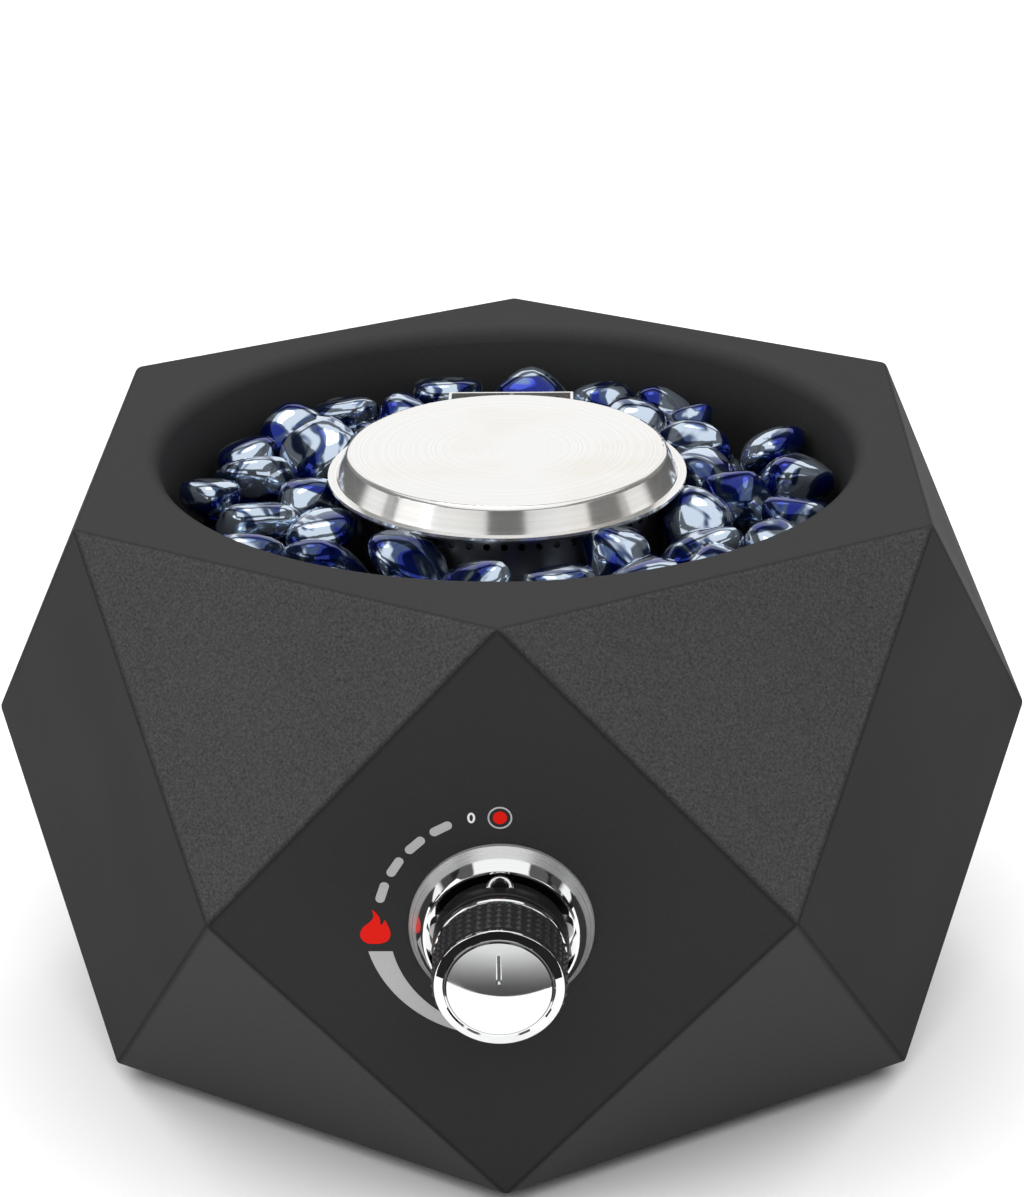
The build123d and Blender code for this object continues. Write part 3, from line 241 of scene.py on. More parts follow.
class FirepitFittings(PropertyGroup):
    """Screw thread of the inlet, return spring, and the painted shade of the screws' cross recesses."""

    pitch: FloatProperty(
        name="Thread pitch", description="Pitch of the inlet's thread", default=0.0014, **LENGTH
    )
    thread_h: FloatProperty(
        name="Thread height", description="Ridge over the bare tube", default=0.0004, **LENGTH
    )
    thread_l: FloatProperty(
        name="Thread length", description="Threaded part behind the nose", default=0.0195, **LENGTH
    )
    nose_l: FloatProperty(
        name="Nose length", description="Coned nose of the inlet", default=0.005, **LENGTH
    )
    tube_r: FloatProperty(
        name="Tube radius", description="Bare tube under the thread", default=0.00794, **LENGTH
    )
    coil_wire: FloatProperty(
        name="Coil wire", description="Wire of the return spring", default=0.0012, **LENGTH
    )
    coil_turns: IntProperty(
        name="Coil turns", description="Turns of the return spring", min=2, max=9, default=6
    )
    # Sizes of the dark cross painted as the shade of a screw's recess
    recess_l: FloatProperty(
        name="Recess length", description="Arm to arm of a cross recess", default=0.0034, **LENGTH
    )
    recess_w: FloatProperty(name="Recess width", description="Width of an arm", default=0.0007, **LENGTH)


class FirepitStage(PropertyGroup):
    """Camera, floor and lights."""

    distance: FloatProperty(name="Distance", description="Camera to the body", default=1.0426, **LENGTH)
    pitch: FloatProperty(
        name="Pitch", description="Camera looks down by", subtype="ANGLE", default=math.radians(25.62)
    )
    turn: FloatProperty(
        name="Turn", description="Camera stands round by", subtype="ANGLE", default=math.radians(0.99)
    )
    roll: FloatProperty(
        name="Roll", description="Camera leans by", subtype="ANGLE", default=math.radians(-0.67)
    )
    side: FloatProperty(name="Side", description="Aim beside the axis", default=0.0058, **LENGTH)
    lens: FloatProperty(name="Lens", description="Focal length in millimetres", default=89.11)
    shift: FloatVectorProperty(
        name="Shift", description="Lens shift of the frame", size=2, default=(-0.01253, 0.0881)
    )
    floor: FloatVectorProperty(
        name="Floor", description="Colour of the floor", default=(0.86, 0.86, 0.86), **COLOUR
    )
    fill: FloatProperty(name="Fill", description="Power of the left light", unit="POWER", default=4)
    sky: FloatProperty(name="Sky", description="Strength of the overcast light", default=2.25)
    windows: FloatProperty(name="Windows", description="Strength of the mirrored windows", default=1.1)
    glint: FloatProperty(name="Glint", description="Strength of the mirrored lamp", default=2.6)
    card_y: FloatProperty(name="Card", description="Near edge of the graded card", default=-0.355, **LENGTH)


LOOKS = {
    "firepit_body": FirepitBody,
    "firepit_burner": FirepitBurner,
    "firepit_glass": FirepitGlass,
    "firepit_knob": FirepitKnob,
    "firepit_dial": FirepitDial,
    "firepit_fittings": FirepitFittings,
    "firepit_stage": FirepitStage,
}

# Most of a noise's values lie between these
WIDE = (0.2, 0.8)
NARROW = (0.3, 0.7)

# Where in a noise finger marks, heat tint, thin skin and bare glass start and end
SMEARS = (0.45, 0.8)
HEAT_CLOUDS = (0.5, 0.75)
THIN_SKIN = (0.45, 0.52)
BARE_GLASS = (0.54, 0.62)

# Paint: contrast of the grain on smooth and on sandy facets, and how dark the painted shade along the creases
# is
PAINT_CONTRAST = (0.3, 1.8)
CREASE_SHADE = 0.5

# Bowl: the darkening starts and ends this far under the deck, and keeps inside the deck's edge
BOWL_DARK_DEPTH = (0.028, 0.003)
BOWL_DARK_MARGIN = 0.01
BOWL_DARK_COLOUR = (0.006, 0.006, 0.0062)

# Pebbles: how far out the flats lie, bluntness, width and height as shares, and lean in radians
PEBBLE_FLATS = (0.66, 1.0)
PEBBLE_BLUNT = (0.7, 1.5)
PEBBLE_WIDTH = (0.92, 1.12)
PEBBLE_HEIGHT = (1.0, 1.22)
PEBBLE_LEAN = 0.38

# Cap: place of the groove inside the rim, and the painted dark line of shade along it
GROOVE_INSET = 0.0036
GROOVE_SHADE = (0.00012, 0.00034)

# Bezel: heights before the panel, the well's floor as a share of the bezel's height, play round
# the knob, pitch of the turned lines, and breaks of the slope as shares of it
FOOT_H = 0.0054
EDGE_H = 0.0015
WELL_UNDER_SCREWS = 0.0022
WELL_FLOOR = 0.1
TURNED_PITCH = 0.0003
BORE_PLAY = 0.0003
BREAKS = ((0.16, 0.0), (0.56, 0.42))

# Grip: steps along and round each stud, and the sleeve's bore against the cap
STUD_STEPS = 10
SLEEVE_BORE = 0.9

# Dial: angles from the right, and places from the mark circle
DASH_START, DASH_STEP = math.radians(118), math.radians(14.67)
DASH_INSET = 0.0003
OFF_INSET = 0.0011
NUMERAL_X = -0.0086
NUMERAL_OVALS = (0.68, 0.46)
FLAME_OFF = (-0.0004, -0.0005)
SWEEP_START, SWEEP_END = math.radians(186), math.radians(256)
SWEEP_TOP = -0.0089

# Inlet: half a thread's ridge against its pitch
RIDGE_HALF = 0.42

# Flame mark, drawn about its middle and two high
FLAME = (
    (0.0, -1.0), (0.66, -0.86), (0.84, -0.3), (0.62, 0.2), (0.52, 0.5), (0.4, 0.2), (0.26, 0.12), (0.3, 0.5),
    (0.1, 0.86), (-0.14, 1.06), (-0.14, 1.06), (-0.02, 0.66), (-0.26, 0.3), (-0.66, 0.02), (-0.84, -0.46),
    (-0.6, -0.9),
)

# Studio: where each mask starts and ends, as a part of the direction, and its two levels
OVERCAST = (0.42, 0.7, 0.05, 1.0)
ROOF_EAVES = (0.7, 0.76)
ROOF_POST = (0.47, 0.52, 1.0, 0.05)
ROOF_ENDS = (0.66, 0.7, 0.0, 0.25)
FRONT_SILL = (0.26, 0.32)
FRONT_HEAD = (0.5, 0.56, 1.0, 0.09)
FRONT_POST = (0.76, 0.8, 1.0, 0.08)
FRONT_ENDS = (0.93, 0.96)
WALL_SILL = (0.08, 0.14)
WALL_HEAD = (0.56, 0.62, 1.0, 0.07)
WALL_POST = (0.42, 0.5, 1.0, 0.05)
WALL_ENDS = (0.9, 0.95)
STAND_SIDE = (0.17, 0.23, 1.0, 0.0)
STAND_TOP = (0.6, 0.66, 1.0, 0.0)
LAMP_WAY = (-0.08, 0.38, 0.92)
LAMP_EDGE = (0.98, 0.986)
DIMMEST = 0.015

# Card: sides of its pale middle, depth and levels of its grade, where its far end darkens
CARD_MIDDLE = (0.07, 0.1, 1.0, 0.0)
CARD_GRADE = 0.15
CARD_LEVELS = (0.93, 0.07)
CARD_FAR = (0.4, 0.3)
CARD_DIMMEST = 0.02


def feed(tree, socket, value):
    """Link an input to another node's output, or set it to a plain value."""
    if isinstance(value, bpy.types.NodeSocket):
        tree.links.new(value, socket)
    elif socket.type == "RGBA" and len(value) == 3:
        socket.default_value = (*value, 1.0)
    else:
        socket.default_value = value


def add(tree, kind, settings=None, **inputs):
    """Add a shader node, set it up and feed the inputs that are named."""
    made = tree.nodes.new("ShaderNode" + kind)
    for name, value in (settings or {}).items():
        setattr(made, name, value)
    for name, value in inputs.items():
        feed(tree, made.inputs[name.replace("_", " ")], value)
    return made


def reckon(tree, operation, *values):
    """Output of one Math node."""
    made = tree.nodes.new("ShaderNodeMath")
    made.operation = operation
    for socket, value in zip(made.inputs, values):
        feed(tree, socket, value)
    return made.outputs[0]


def times(tree, value, *others):
    """Values multiplied in turn."""
    for other in others:
        value = reckon(tree, "MULTIPLY", value, other)
    return value


def reach_of(tree, across, up):
    """Distance from an axis, from the two parts square to it."""
    squares = [times(tree, part, part) for part in (across, up)]
    return reckon(tree, "SQRT", reckon(tree, "ADD", *squares))


def knob_reach(tree, x, z):
    """Distance from the knob's axis."""
    return reach_of(tree, x, reckon(tree, "SUBTRACT", z, KNOB_Z))


def ease(tree, value, start, end, out_start=0.0, out_end=1.0):
    """A smooth step from start to end."""
    span = {"From_Min": start, "From_Max": end, "To_Min": out_start, "To_Max": out_end}
    return add(tree, "MapRange", {"interpolation_type": "SMOOTHSTEP"}, Value=value, **span).outputs[0]


def mix(tree, factor, first, second):
    """Two colours mixed."""
    made = tree.nodes.new("ShaderNodeMix")
    made.data_type = "RGBA"
    feed(tree, made.inputs[0], factor)
    feed(tree, made.inputs[6], first)
    feed(tree, made.inputs[7], second)
    return made.outputs[2]


def shade(tree, colour, value):
    """A colour made lighter or darker by a value."""
    made = add(tree, "VectorMath", {"operation": "SCALE"})
    feed(tree, made.inputs[0], colour)
    feed(tree, made.inputs["Scale"], value)
    return made.outputs[0]


def place(tree):
    """Object coordinates, as a vector and as its three parts."""
    spot = tree.nodes.new("ShaderNodeTexCoord").outputs["Object"]
    parts = add(tree, "SeparateXYZ", Vector=spot).outputs
    return spot, parts


def noise(tree, spot, scale, detail, **values):
    """Soft noise over a surface."""
    return add(tree, "TexNoise", Vector=spot, Scale=scale, Detail=detail, **values).outputs["Fac"]


def ring_noise(tree, along, detail):
    """Noise that changes along one measure only."""
    made = add(tree, "TexNoise", {"noise_dimensions": "1D"}, W=along, Scale=1.0, Detail=detail)
    return made.outputs["Fac"]


def sway(tree, value, width):
    """A noise about nought instead of a half, given a width."""
    return times(tree, reckon(tree, "SUBTRACT", value, 0.5), width)


def new_group(name, inputs, outputs):
    """An empty shader group with named sockets."""
    tree = bpy.data.node_groups.new(name, "ShaderNodeTree")
    for label, kind, value in inputs:
        socket = tree.interface.new_socket(label, in_out="INPUT", socket_type="NodeSocket" + kind)
        socket.default_value = value
    for label, kind in outputs:
        tree.interface.new_socket(label, in_out="OUTPUT", socket_type="NodeSocket" + kind)
    source = tree.nodes.new("NodeGroupInput").outputs
    sink = tree.nodes.new("NodeGroupOutput").inputs
    return tree, source, sink


def sandy_grain(name):
    """Fine grain with soft patches: powder coat, castings, moulded skin."""
    tree, source, sink = new_group(
        name,
        (("Colour", "Color", (0.5, 0.5, 0.5, 1)), ("Size", "Float", 0.001), ("Contrast", "Float", 0.3)),
        (("Colour", "Color"), ("Height", "Float"), ("Patch", "Float")),
    )
    spot, _ = place(tree)
    fine = reckon(tree, "DIVIDE", 1.0, source["Size"])
    grain = noise(tree, spot, scale=fine, detail=2.0, Roughness=0.6)
    patch = noise(tree, spot, scale=16.0, detail=2.0)
    both = reckon(tree, "ADD", sway(tree, grain, source["Contrast"]), sway(tree, patch, width=0.16))
    feed(tree, sink["Colour"], shade(tree, source["Colour"], reckon(tree, "ADD", 1.0, both)))
    feed(tree, sink["Height"], grain)
    feed(tree, sink["Patch"], patch)
    return tree


def facet_edges(name):
    """Painted shade along the folded edges, and masks of where the leaning and the upright facets are."""
    tree, source, sink = new_group(
        name, (("Width", "Float", 0.002),), (("Crease", "Float"), ("Leaning", "Float"), ("Upright", "Float"))
    )
    _, (x, y, z) = place(tree)
    turn = reckon(tree, "ARCTAN2", y, x)
    reach = reach_of(tree, x, y)
    rise = reckon(tree, "ABSOLUTE", reckon(tree, "SUBTRACT", z, KNOB_Z))
    to_upright = reckon(tree, "SUBTRACT", reckon(tree, "FLOORED_MODULO", turn, 2 * HALF_STEP), HALF_STEP)
    to_leaning = reckon(tree, "PINGPONG", turn, HALF_STEP)
    upright = reckon(tree, "SUBTRACT", RIM_R, times(tree, reach, reckon(tree, "COSINE", to_upright)))
    lean_in = reckon(tree, "SUBTRACT", GIRDLE_R, times(tree, reach, reckon(tree, "COSINE", to_leaning)))
    run = GIRDLE_R - EDGE_MID_R
    slant = math.hypot(run, HALF_H)
    leaning = reckon(
        tree, "SUBTRACT", times(tree, lean_in, HALF_H / slant), times(tree, rise, run / slant)
    )
    deck = reckon(tree, "SUBTRACT", HALF_H, rise)
    nearer = reckon(tree, "MINIMUM", upright, leaning)
    further = reckon(tree, "MAXIMUM", upright, leaning)
    second = reckon(tree, "MAXIMUM", nearer, reckon(tree, "MINIMUM", further, deck))
    feed(tree, sink["Crease"], ease(tree, second, 0.0, source["Width"], 1.0, 0.0))
    for label, own, other in (("Leaning", leaning, upright), ("Upright", upright, leaning)):
        rest = reckon(tree, "MINIMUM", other, deck)
        feed(tree, sink[label], reckon(tree, "LESS_THAN", own, rest))
    return tree


def drawn_lines(name):
    """Streaks left by rolling, drawing or turning, stretched along one direction."""
    tree, source, sink = new_group(
        name,
        (
            ("Colour", "Color", (0.5, 0.5, 0.5, 1)),
            ("Stretch", "Vector", (1000.0, 1000.0, 20.0)),
            ("Contrast", "Float", 0.2),
            ("Roughness", "Float", 0.3),
        ),
        (("Colour", "Color"), ("Roughness", "Float"), ("Height", "Float")),
    )
    spot, _ = place(tree)
    mapped = add(tree, "Mapping", Vector=spot, Scale=source["Stretch"]).outputs[0]
    line = noise(tree, mapped, scale=1.0, detail=3.0)
    cloud = noise(tree, spot, scale=45.0, detail=3.0)
    both = reckon(tree, "ADD", sway(tree, line, source["Contrast"]), sway(tree, cloud, width=0.3))
    level = reckon(tree, "ADD", 1.0, both)
    feed(tree, sink["Colour"], shade(tree, source["Colour"], level))
    feed(tree, sink["Roughness"], times(tree, source["Roughness"], reckon(tree, "SUBTRACT", 2.0, level)))
    feed(tree, sink["Height"], line)
    return tree


def spun_lines(name):
    """Fine rings about an upright axis, as spinning leaves them on sheet."""
    tree, source, sink = new_group(
        name,
        (("Pitch", "Float", 0.001), ("Roughness", "Float", 0.3)),
        (("Line", "Float"), ("Roughness", "Float")),
    )
    spot, (x, y, z) = place(tree)
    along = reckon(tree, "DIVIDE", reckon(tree, "ADD", reach_of(tree, x, y), z), source["Pitch"])
    line = ring_noise(tree, along, detail=3.0)
    cloud = noise(tree, spot, scale=38.0, detail=3.0)
    feed(tree, sink["Line"], line)
    mixed = reckon(tree, "ADD", times(tree, line, 0.5), times(tree, cloud, 0.9))
    feed(tree, sink["Roughness"], times(tree, source["Roughness"], reckon(tree, "ADD", mixed, 0.3)))
    return tree


def use(tree, make, **inputs):
    """Outputs of a shader group placed in a material. The group is built on first use."""
    title = make.__name__.replace("_", " ").capitalize()
    made = tree.nodes.new("ShaderNodeGroup")
    made.node_tree = bpy.data.node_groups.get(title) or make(title)
    for name, value in inputs.items():
        feed(tree, made.inputs[name], value)
    return made.outputs


def new_material(name, **values):
    """A material with one Principled shader, and its node tree."""
    made = bpy.data.materials.new(name)
    made.use_nodes = True
    tree = made.node_tree
    tree.nodes.clear()
    shader = add(tree, "BsdfPrincipled", **values)
    sink = tree.nodes.new("ShaderNodeOutputMaterial")
    tree.links.new(shader.outputs[0], sink.inputs["Surface"])
    return made, tree, shader.inputs


def bump(tree, inputs, height, strength, distance):
    """Raise the surface by a height."""
    made = add(tree, "Bump", Strength=strength, Distance=distance, Height=height)
    tree.links.new(made.outputs[0], inputs["Normal"])


def grainy(name, colour, size, contrast, rough, raised, depth, **values):
    """Painted, cast, moulded or printed surface with a sandy grain."""
    made, tree, inputs = new_material(name, **values)
    grain = use(tree, sandy_grain, Colour=(*colour, 1), Size=size, Contrast=contrast)
    feed(tree, inputs["Base Color"], grain["Colour"])
    feed(tree, inputs["Roughness"], ease(tree, grain["Patch"], *WIDE, *rough))
    bump(tree, inputs, grain["Height"], raised, depth)
    return made


def lined(name, colour, stretch, contrast, roughness):
    """Bare metal with streaks."""
    made, tree, inputs = new_material(name, Metallic=1.0)
    values = {"Colour": (*colour, 1), "Stretch": stretch, "Contrast": contrast, "Roughness": roughness}
    lines = use(tree, drawn_lines, **values)
    feed(tree, inputs["Base Color"], lines["Colour"])
    feed(tree, inputs["Roughness"], lines["Roughness"])
    bump(tree, inputs, lines["Height"], strength=0.15, distance=0.00005)
    return made


def body_paint(name):
    """Powder coat on the faceted skin, the deck and the bowl, with painted shade along the creases and on the
    upright facets and the deck, and the bowl darker below the deck.
    """
    look = bpy.context.scene.firepit_body
    made, tree, inputs = new_material(name, Specular_IOR_Level=0.03)
    edges = use(tree, facet_edges, Width=look.crease)
    _, (x, y, z) = place(tree)
    upper = times(tree, edges["Leaning"], reckon(tree, "GREATER_THAN", z, KNOB_Z))
    sandy = ease(tree, upper, 0.0, 1.0, *PAINT_CONTRAST)
    # Painted shade: upright facets and deck darker than the leaning ones, as light would leave them
    painted_shade = reckon(tree, "MULTIPLY_ADD", edges["Upright"], look.upright - look.level, look.level)
    painted_shade = reckon(tree, "MAXIMUM", painted_shade, edges["Leaning"])
    coat = shade(tree, look.paint, painted_shade)
    grain = use(tree, sandy_grain, Colour=coat, Size=look.grain, Contrast=sandy)
    # The bowl grows darker below the deck, inside the deck's edge
    sunk = ease(tree, z, *(DECK_Z - depth for depth in BOWL_DARK_DEPTH), 1.0, 0.0)
    inside = reckon(tree, "LESS_THAN", reach_of(tree, x, y), EDGE_MID_R - BOWL_DARK_MARGIN)
    bowl_dark_mask = times(tree, sunk, inside, look.soot)
    # Painted shade along the creases, joined with the bowl's darkening below the deck
    crease_shade_and_bowl_dark = reckon(tree, "MAXIMUM", times(tree, edges["Crease"], CREASE_SHADE), bowl_dark_mask)
    feed(tree, inputs["Base Color"], mix(tree, crease_shade_and_bowl_dark, grain["Colour"], BOWL_DARK_COLOUR))
    feed(tree, inputs["Roughness"], ease(tree, grain["Patch"], *WIDE, 0.6, 0.72))
    bump(tree, inputs, grain["Height"], strength=0.3, distance=look.grain / 3)
    return made


def base_paint(name):
    """Powder coat on the base plate."""
    look = bpy.context.scene.firepit_body
    grain = {"size": look.grain, "contrast": 0.8, "raised": 0.3, "depth": look.grain / 4}
    return grainy(name, look.paint, rough=(0.54, 0.66), **grain)


def spun_steel(name):
    """Spun stainless sheet with a little heat tint."""
    look = bpy.context.scene.firepit_burner
    made, tree, inputs = new_material(name, Metallic=0.78)
    spun = use(tree, spun_lines, Pitch=look.line_pitch, Roughness=0.12)
    spot, _ = place(tree)
    cloud = noise(tree, spot, scale=28.0, detail=3.0)
    warm = ease(tree, cloud, *HEAT_CLOUDS, 0.0, 0.22)
    tint = mix(tree, warm, look.steel, look.heat)
    feed(tree, inputs["Base Color"], shade(tree, tint, ease(tree, spun["Line"], *NARROW, 0.95, 1.04)))
    feed(tree, inputs["Roughness"], spun["Roughness"])
    bump(tree, inputs, spun["Line"], strength=0.12, distance=0.00004)
    return made


def smeared(tree, colour):
    """A polished colour with faint finger marks, and the marks."""
    spot, _ = place(tree)
    smear = noise(tree, spot, scale=120.0, detail=4.0)
    return shade(tree, colour, ease(tree, smear, *NARROW, 0.97, 1.02)), smear


def chrome(name):
    """Polished chrome plate."""
    made, tree, inputs = new_material(name, Metallic=1.0)
    plate, smear = smeared(tree, bpy.context.scene.firepit_knob.chrome)
    feed(tree, inputs["Base Color"], plate)
    feed(tree, inputs["Roughness"], ease(tree, smear, *SMEARS, 0.025, 0.075))
    return made


def cap_chrome(name):
    """Polished chrome with a painted dark line of shade in the groove round the disc."""
    made, tree, inputs = new_material(name, Metallic=1.0)
    plate, smear = smeared(tree, bpy.context.scene.firepit_knob.chrome)
    _, (x, _, z) = place(tree)
    off = reckon(tree, "SUBTRACT", knob_reach(tree, x, z), high("knob_cap").x - GROOVE_INSET)
    # Painted shade: the chrome is darkened along the groove
    dull = ease(tree, reckon(tree, "ABSOLUTE", off), *GROOVE_SHADE, 0.75, 0.0)
    feed(tree, inputs["Base Color"], mix(tree, dull, plate, (0.05, 0.05, 0.05)))
    feed(tree, inputs["Roughness"], ease(tree, smear, *SMEARS, 0.025, 0.07))
    return made


def bezel_chrome(name):
    """Chrome with a satin coned foot, and a well floor painted black as painted shade."""
    look = bpy.context.scene.firepit_knob
    made, tree, inputs = new_material(name, Metallic=1.0)
    _, (x, y, z) = place(tree)
    reach = knob_reach(tree, x, z)
    line = ring_noise(tree, reckon(tree, "DIVIDE", reach, TURNED_PITCH), detail=2.0)
    crest = high("bezel").x - look.cone_w
    satin = ease(tree, reach, crest, crest + look.cone_w / 5)
    # Painted shade: the well's floor inside the bore is coloured black
    shaded_floor_y = low("bezel").y * WELL_FLOOR + PANEL_Y * (1 - WELL_FLOOR)
    deep = reckon(tree, "GREATER_THAN", y, shaded_floor_y)
    floor = times(tree, reckon(tree, "LESS_THAN", reach, CORE_R), deep)
    plate = shade(tree, look.chrome, ease(tree, line, *NARROW, 0.94, 1.0))
    plate = shade(tree, plate, ease(tree, satin, 0.0, 1.0, 1.0, 0.78))
    feed(tree, inputs["Base Color"], mix(tree, floor, plate, (0.012, 0.012, 0.012)))
    bright, dull = (ease(tree, line, *NARROW, *rough) for rough in ((0.03, 0.05), (0.26, 0.36)))
    feed(tree, inputs["Roughness"], mix(tree, satin, bright, dull))
    feed(tree, inputs["Metallic"], ease(tree, satin, 0.0, 1.0, 1.0, 0.7))
    return made


def rubber(name):
    """Matt black rubber."""
    grain = {"size": 0.0004, "contrast": 0.6, "raised": 0.12, "depth": 0.0001}
    return grainy(name, bpy.context.scene.firepit_knob.rubber, rough=(0.34, 0.46), **grain)


def plastic(name):
    """Moulded black plastic."""
    grain = {"size": 0.0005, "contrast": 0.4, "raised": 0.06, "depth": 0.000125}
    return grainy(name, bpy.context.scene.firepit_knob.plastic, rough=(0.24, 0.36), **grain)


def ceramic(name):
    """White glazed ceramic."""
    grain = {"size": 0.0015, "contrast": 0.12, "raised": 0.05, "depth": 0.000375}
    return grainy(name, (0.8, 0.78, 0.72), rough=(0.19, 0.31), Coat_Weight=0.3, **grain)


def cast_alloy(name):
    """Die-cast alloy as cast."""
    grain = {"size": 0.0012, "contrast": 0.35, "raised": 0.25, "depth": 0.0003}
    return grainy(name, (0.48, 0.48, 0.49), rough=(0.39, 0.51), Metallic=1.0, **grain)


def fire_glass(name):
    """Tumbled cobalt glass with a mirror lustre."""
    look = bpy.context.scene.firepit_glass
    coat = {"Coat_Weight": 0.3, "Coat_Roughness": 0.02, "Coat_IOR": 1.5}
    made, tree, inputs = new_material(name, Metallic=0.9, **coat)
    spot, _ = place(tree)
    swirl = noise(tree, spot, scale=48.0, detail=2.0, Distortion=1.8)
    skin = mix(tree, ease(tree, swirl, *THIN_SKIN), look.lustre, look.dusk)
    bare = ease(tree, swirl, *BARE_GLASS)
    feed(tree, inputs["Base Color"], mix(tree, bare, skin, look.cobalt))
    feed(tree, inputs["Roughness"], ease(tree, swirl, 0.3, 0.8, 0.02, 0.06))
    bump(tree, inputs, swirl, strength=0.2, distance=0.0008)
    return made


def ink(name, colour):
    """Screen-printed ink."""
    grain = {"size": 0.0006, "contrast": 0.25, "raised": 0.2, "depth": 0.0002}
    return grainy(name, colour, rough=(0.42, 0.55), Specular_IOR_Level=0.1, **grain)


def grey_ink(name):
    """Grey ink of halo, dashes and sweep."""
    return ink(name, bpy.context.scene.firepit_dial.grey)


def white_ink(name):
    """White ink of the numeral."""
    return ink(name, bpy.context.scene.firepit_dial.white)


def red_ink(name):
    """Red ink of dot and flame."""
    return ink(name, bpy.context.scene.firepit_dial.red)


FINISHES = {
    "body_paint": body_paint,
    "base_paint": base_paint,
    "spun_steel": spun_steel,
    "chrome": chrome,
    "bezel_chrome": bezel_chrome,
    "cap_chrome": cap_chrome,
    "rubber": rubber,
    "plastic": plastic,
    "ceramic": ceramic,
    "cast_alloy": cast_alloy,
    "fire_glass": fire_glass,
    "grey_ink": grey_ink,
    "white_ink": white_ink,
    "red_ink": red_ink,
}

# Bare metals: colour, stretch of the streaks, contrast and roughness
METALS = {
    "brass": ((0.72, 0.50, 0.22), (900.0, 60.0, 900.0), 0.25, 0.27),
    "zinc": ((0.62, 0.62, 0.60), (700.0, 700.0, 700.0), 0.3, 0.32),
    "mild_steel": ((0.46, 0.46, 0.47), (900.0, 900.0, 60.0), 0.35, 0.4),
    "burnt_steel": ((0.2, 0.19, 0.18), (300.0, 300.0, 900.0), 0.35, 0.34),
    "drawn_alloy": ((0.70, 0.71, 0.72), (900.0, 40.0, 900.0), 0.25, 0.3),
}


def material(finish):
    """A finish's material, made on first use."""
    title = OWN + finish
    if title in bpy.data.materials:
        return bpy.data.materials[title]
    if finish in METALS:
        return lined(title, *METALS[finish])
    return FINISHES[finish](title)


def finish_nodes(finish, *nodes):
    """Give packed nodes a finish."""
    for node in nodes:
        for holder in NODES[node].material_slots:
            holder.material = material(finish)


def mesh_of(bm, name, made):
    """A mesh from a bmesh, with a material."""
    mesh = bpy.data.meshes.new(name)
    bm.to_mesh(mesh)
    bm.free()
    mesh.materials.append(made)
    return mesh


def put(name, data):
    """A new object in the scene."""
    made = bpy.data.objects.new(name, data)
    bpy.context.scene.collection.objects.link(made)
    return made


def finish_piece(bm, name, finish, body, stands_for=(), smooth=True):
    """Turn a bmesh into a piece that rides on a body."""
    mesh = mesh_of(bm, name, material(finish))
    if smooth:
        mesh.shade_smooth()
    else:
        mesh.shade_flat()
    piece = put(name, mesh)
    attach(piece, body)
    if stands_for:
        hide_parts(*stands_for)
    return piece


def close_up(bm):
    """Merge doubles and turn the faces outwards."""
    bmesh.ops.remove_doubles(bm, verts=bm.verts, dist=MERGE)
    bmesh.ops.recalc_face_normals(bm, faces=bm.faces)


def edges_of(verts):
    """Edges that meet at some verts."""
    return list({edge for vert in verts for edge in vert.link_edges})


def loose_parts(node):
    """Centre and size of each loose part of a packed node."""
    bm = bmesh.new()
    bm.from_mesh(NODES[node].data)
    bmesh.ops.remove_doubles(bm, verts=bm.verts, dist=MERGE)
    left, parts = set(bm.verts), []
    while left:
        front = [left.pop()]
        part = []
        while front:
            vert = front.pop()
            part.append(vert.co.copy())
            for edge in vert.link_edges:
                other = edge.other_vert(vert)
                if other in left:
                    left.discard(other)
                    front.append(other)
        lo = Vector(min(p[i] for p in part) for i in range(3))
        hi = Vector(max(p[i] for p in part) for i in range(3))
        parts.append(((lo + hi) / 2, hi - lo))
    bm.free()
    return sorted(parts, key=lambda p: (round(p[0].z, 5), round(p[0].x, 5), round(p[0].y, 5)))


def shape_pebble(bm, seat, size, rng, look):
    """One tumbled pebble: a ball pressed onto a few flats with blunt edges between them."""
    verts = bmesh.ops.create_icosphere(bm, subdivisions=3, radius=1.0)["verts"]
    flats = []
    for _ in range(look.facets):
        way = Vector((rng.gauss(0, 1), rng.gauss(0, 1), rng.gauss(0, 1))).normalized()
        flats.append(way / rng.uniform(*PEBBLE_FLATS))
    flats += [Vector(way) for way in ((1, 0, 0), (-1, 0, 0), (0, 1, 0), (0, -1, 0), (0, 0, 1), (0, 0, -1))]
    blunt = look.blunt * rng.uniform(*PEBBLE_BLUNT)
    for vert in verts:
        way = vert.co.normalized()
        press = sum(max(way.dot(flat), 0.0) ** blunt for flat in flats)
        vert.co = way * press ** (-1 / blunt)
    reach = [max(abs(v.co[i]) for v in verts) for i in range(3)]
    grow = [rng.uniform(*share) for share in (PEBBLE_WIDTH, PEBBLE_WIDTH, PEBBLE_HEIGHT)]
    half = [size[i] / 2 / reach[i] * look.swell * grow[i] for i in range(3)]
    tip, roll = (Matrix.Rotation(rng.uniform(-PEBBLE_LEAN, PEBBLE_LEAN), 4, axis) for axis in "XY")
    turn = Matrix.Rotation(rng.uniform(0, FULL_TURN), 4, "Z")
    lay = Matrix.Translation(seat) @ turn @ (tip @ roll) @ Matrix.Diagonal((*half, 1.0))
    bmesh.ops.transform(bm, matrix=lay, verts=verts)


def wind(bm, ring, centre, pitch, turns, steps=36):
    """Wind a closed ring of verts round an axis along y."""
    bmesh.ops.spin(
        bm,
        geom=ring + edges_of(ring),
        cent=centre,
        axis=(0, 1, 0),
        dvec=(0, pitch / steps, 0),
        angle=FULL_TURN * turns,
        steps=steps * turns,
        use_merge=False,
    )
    bmesh.ops.holes_fill(bm, edges=bm.edges)
    close_up(bm)


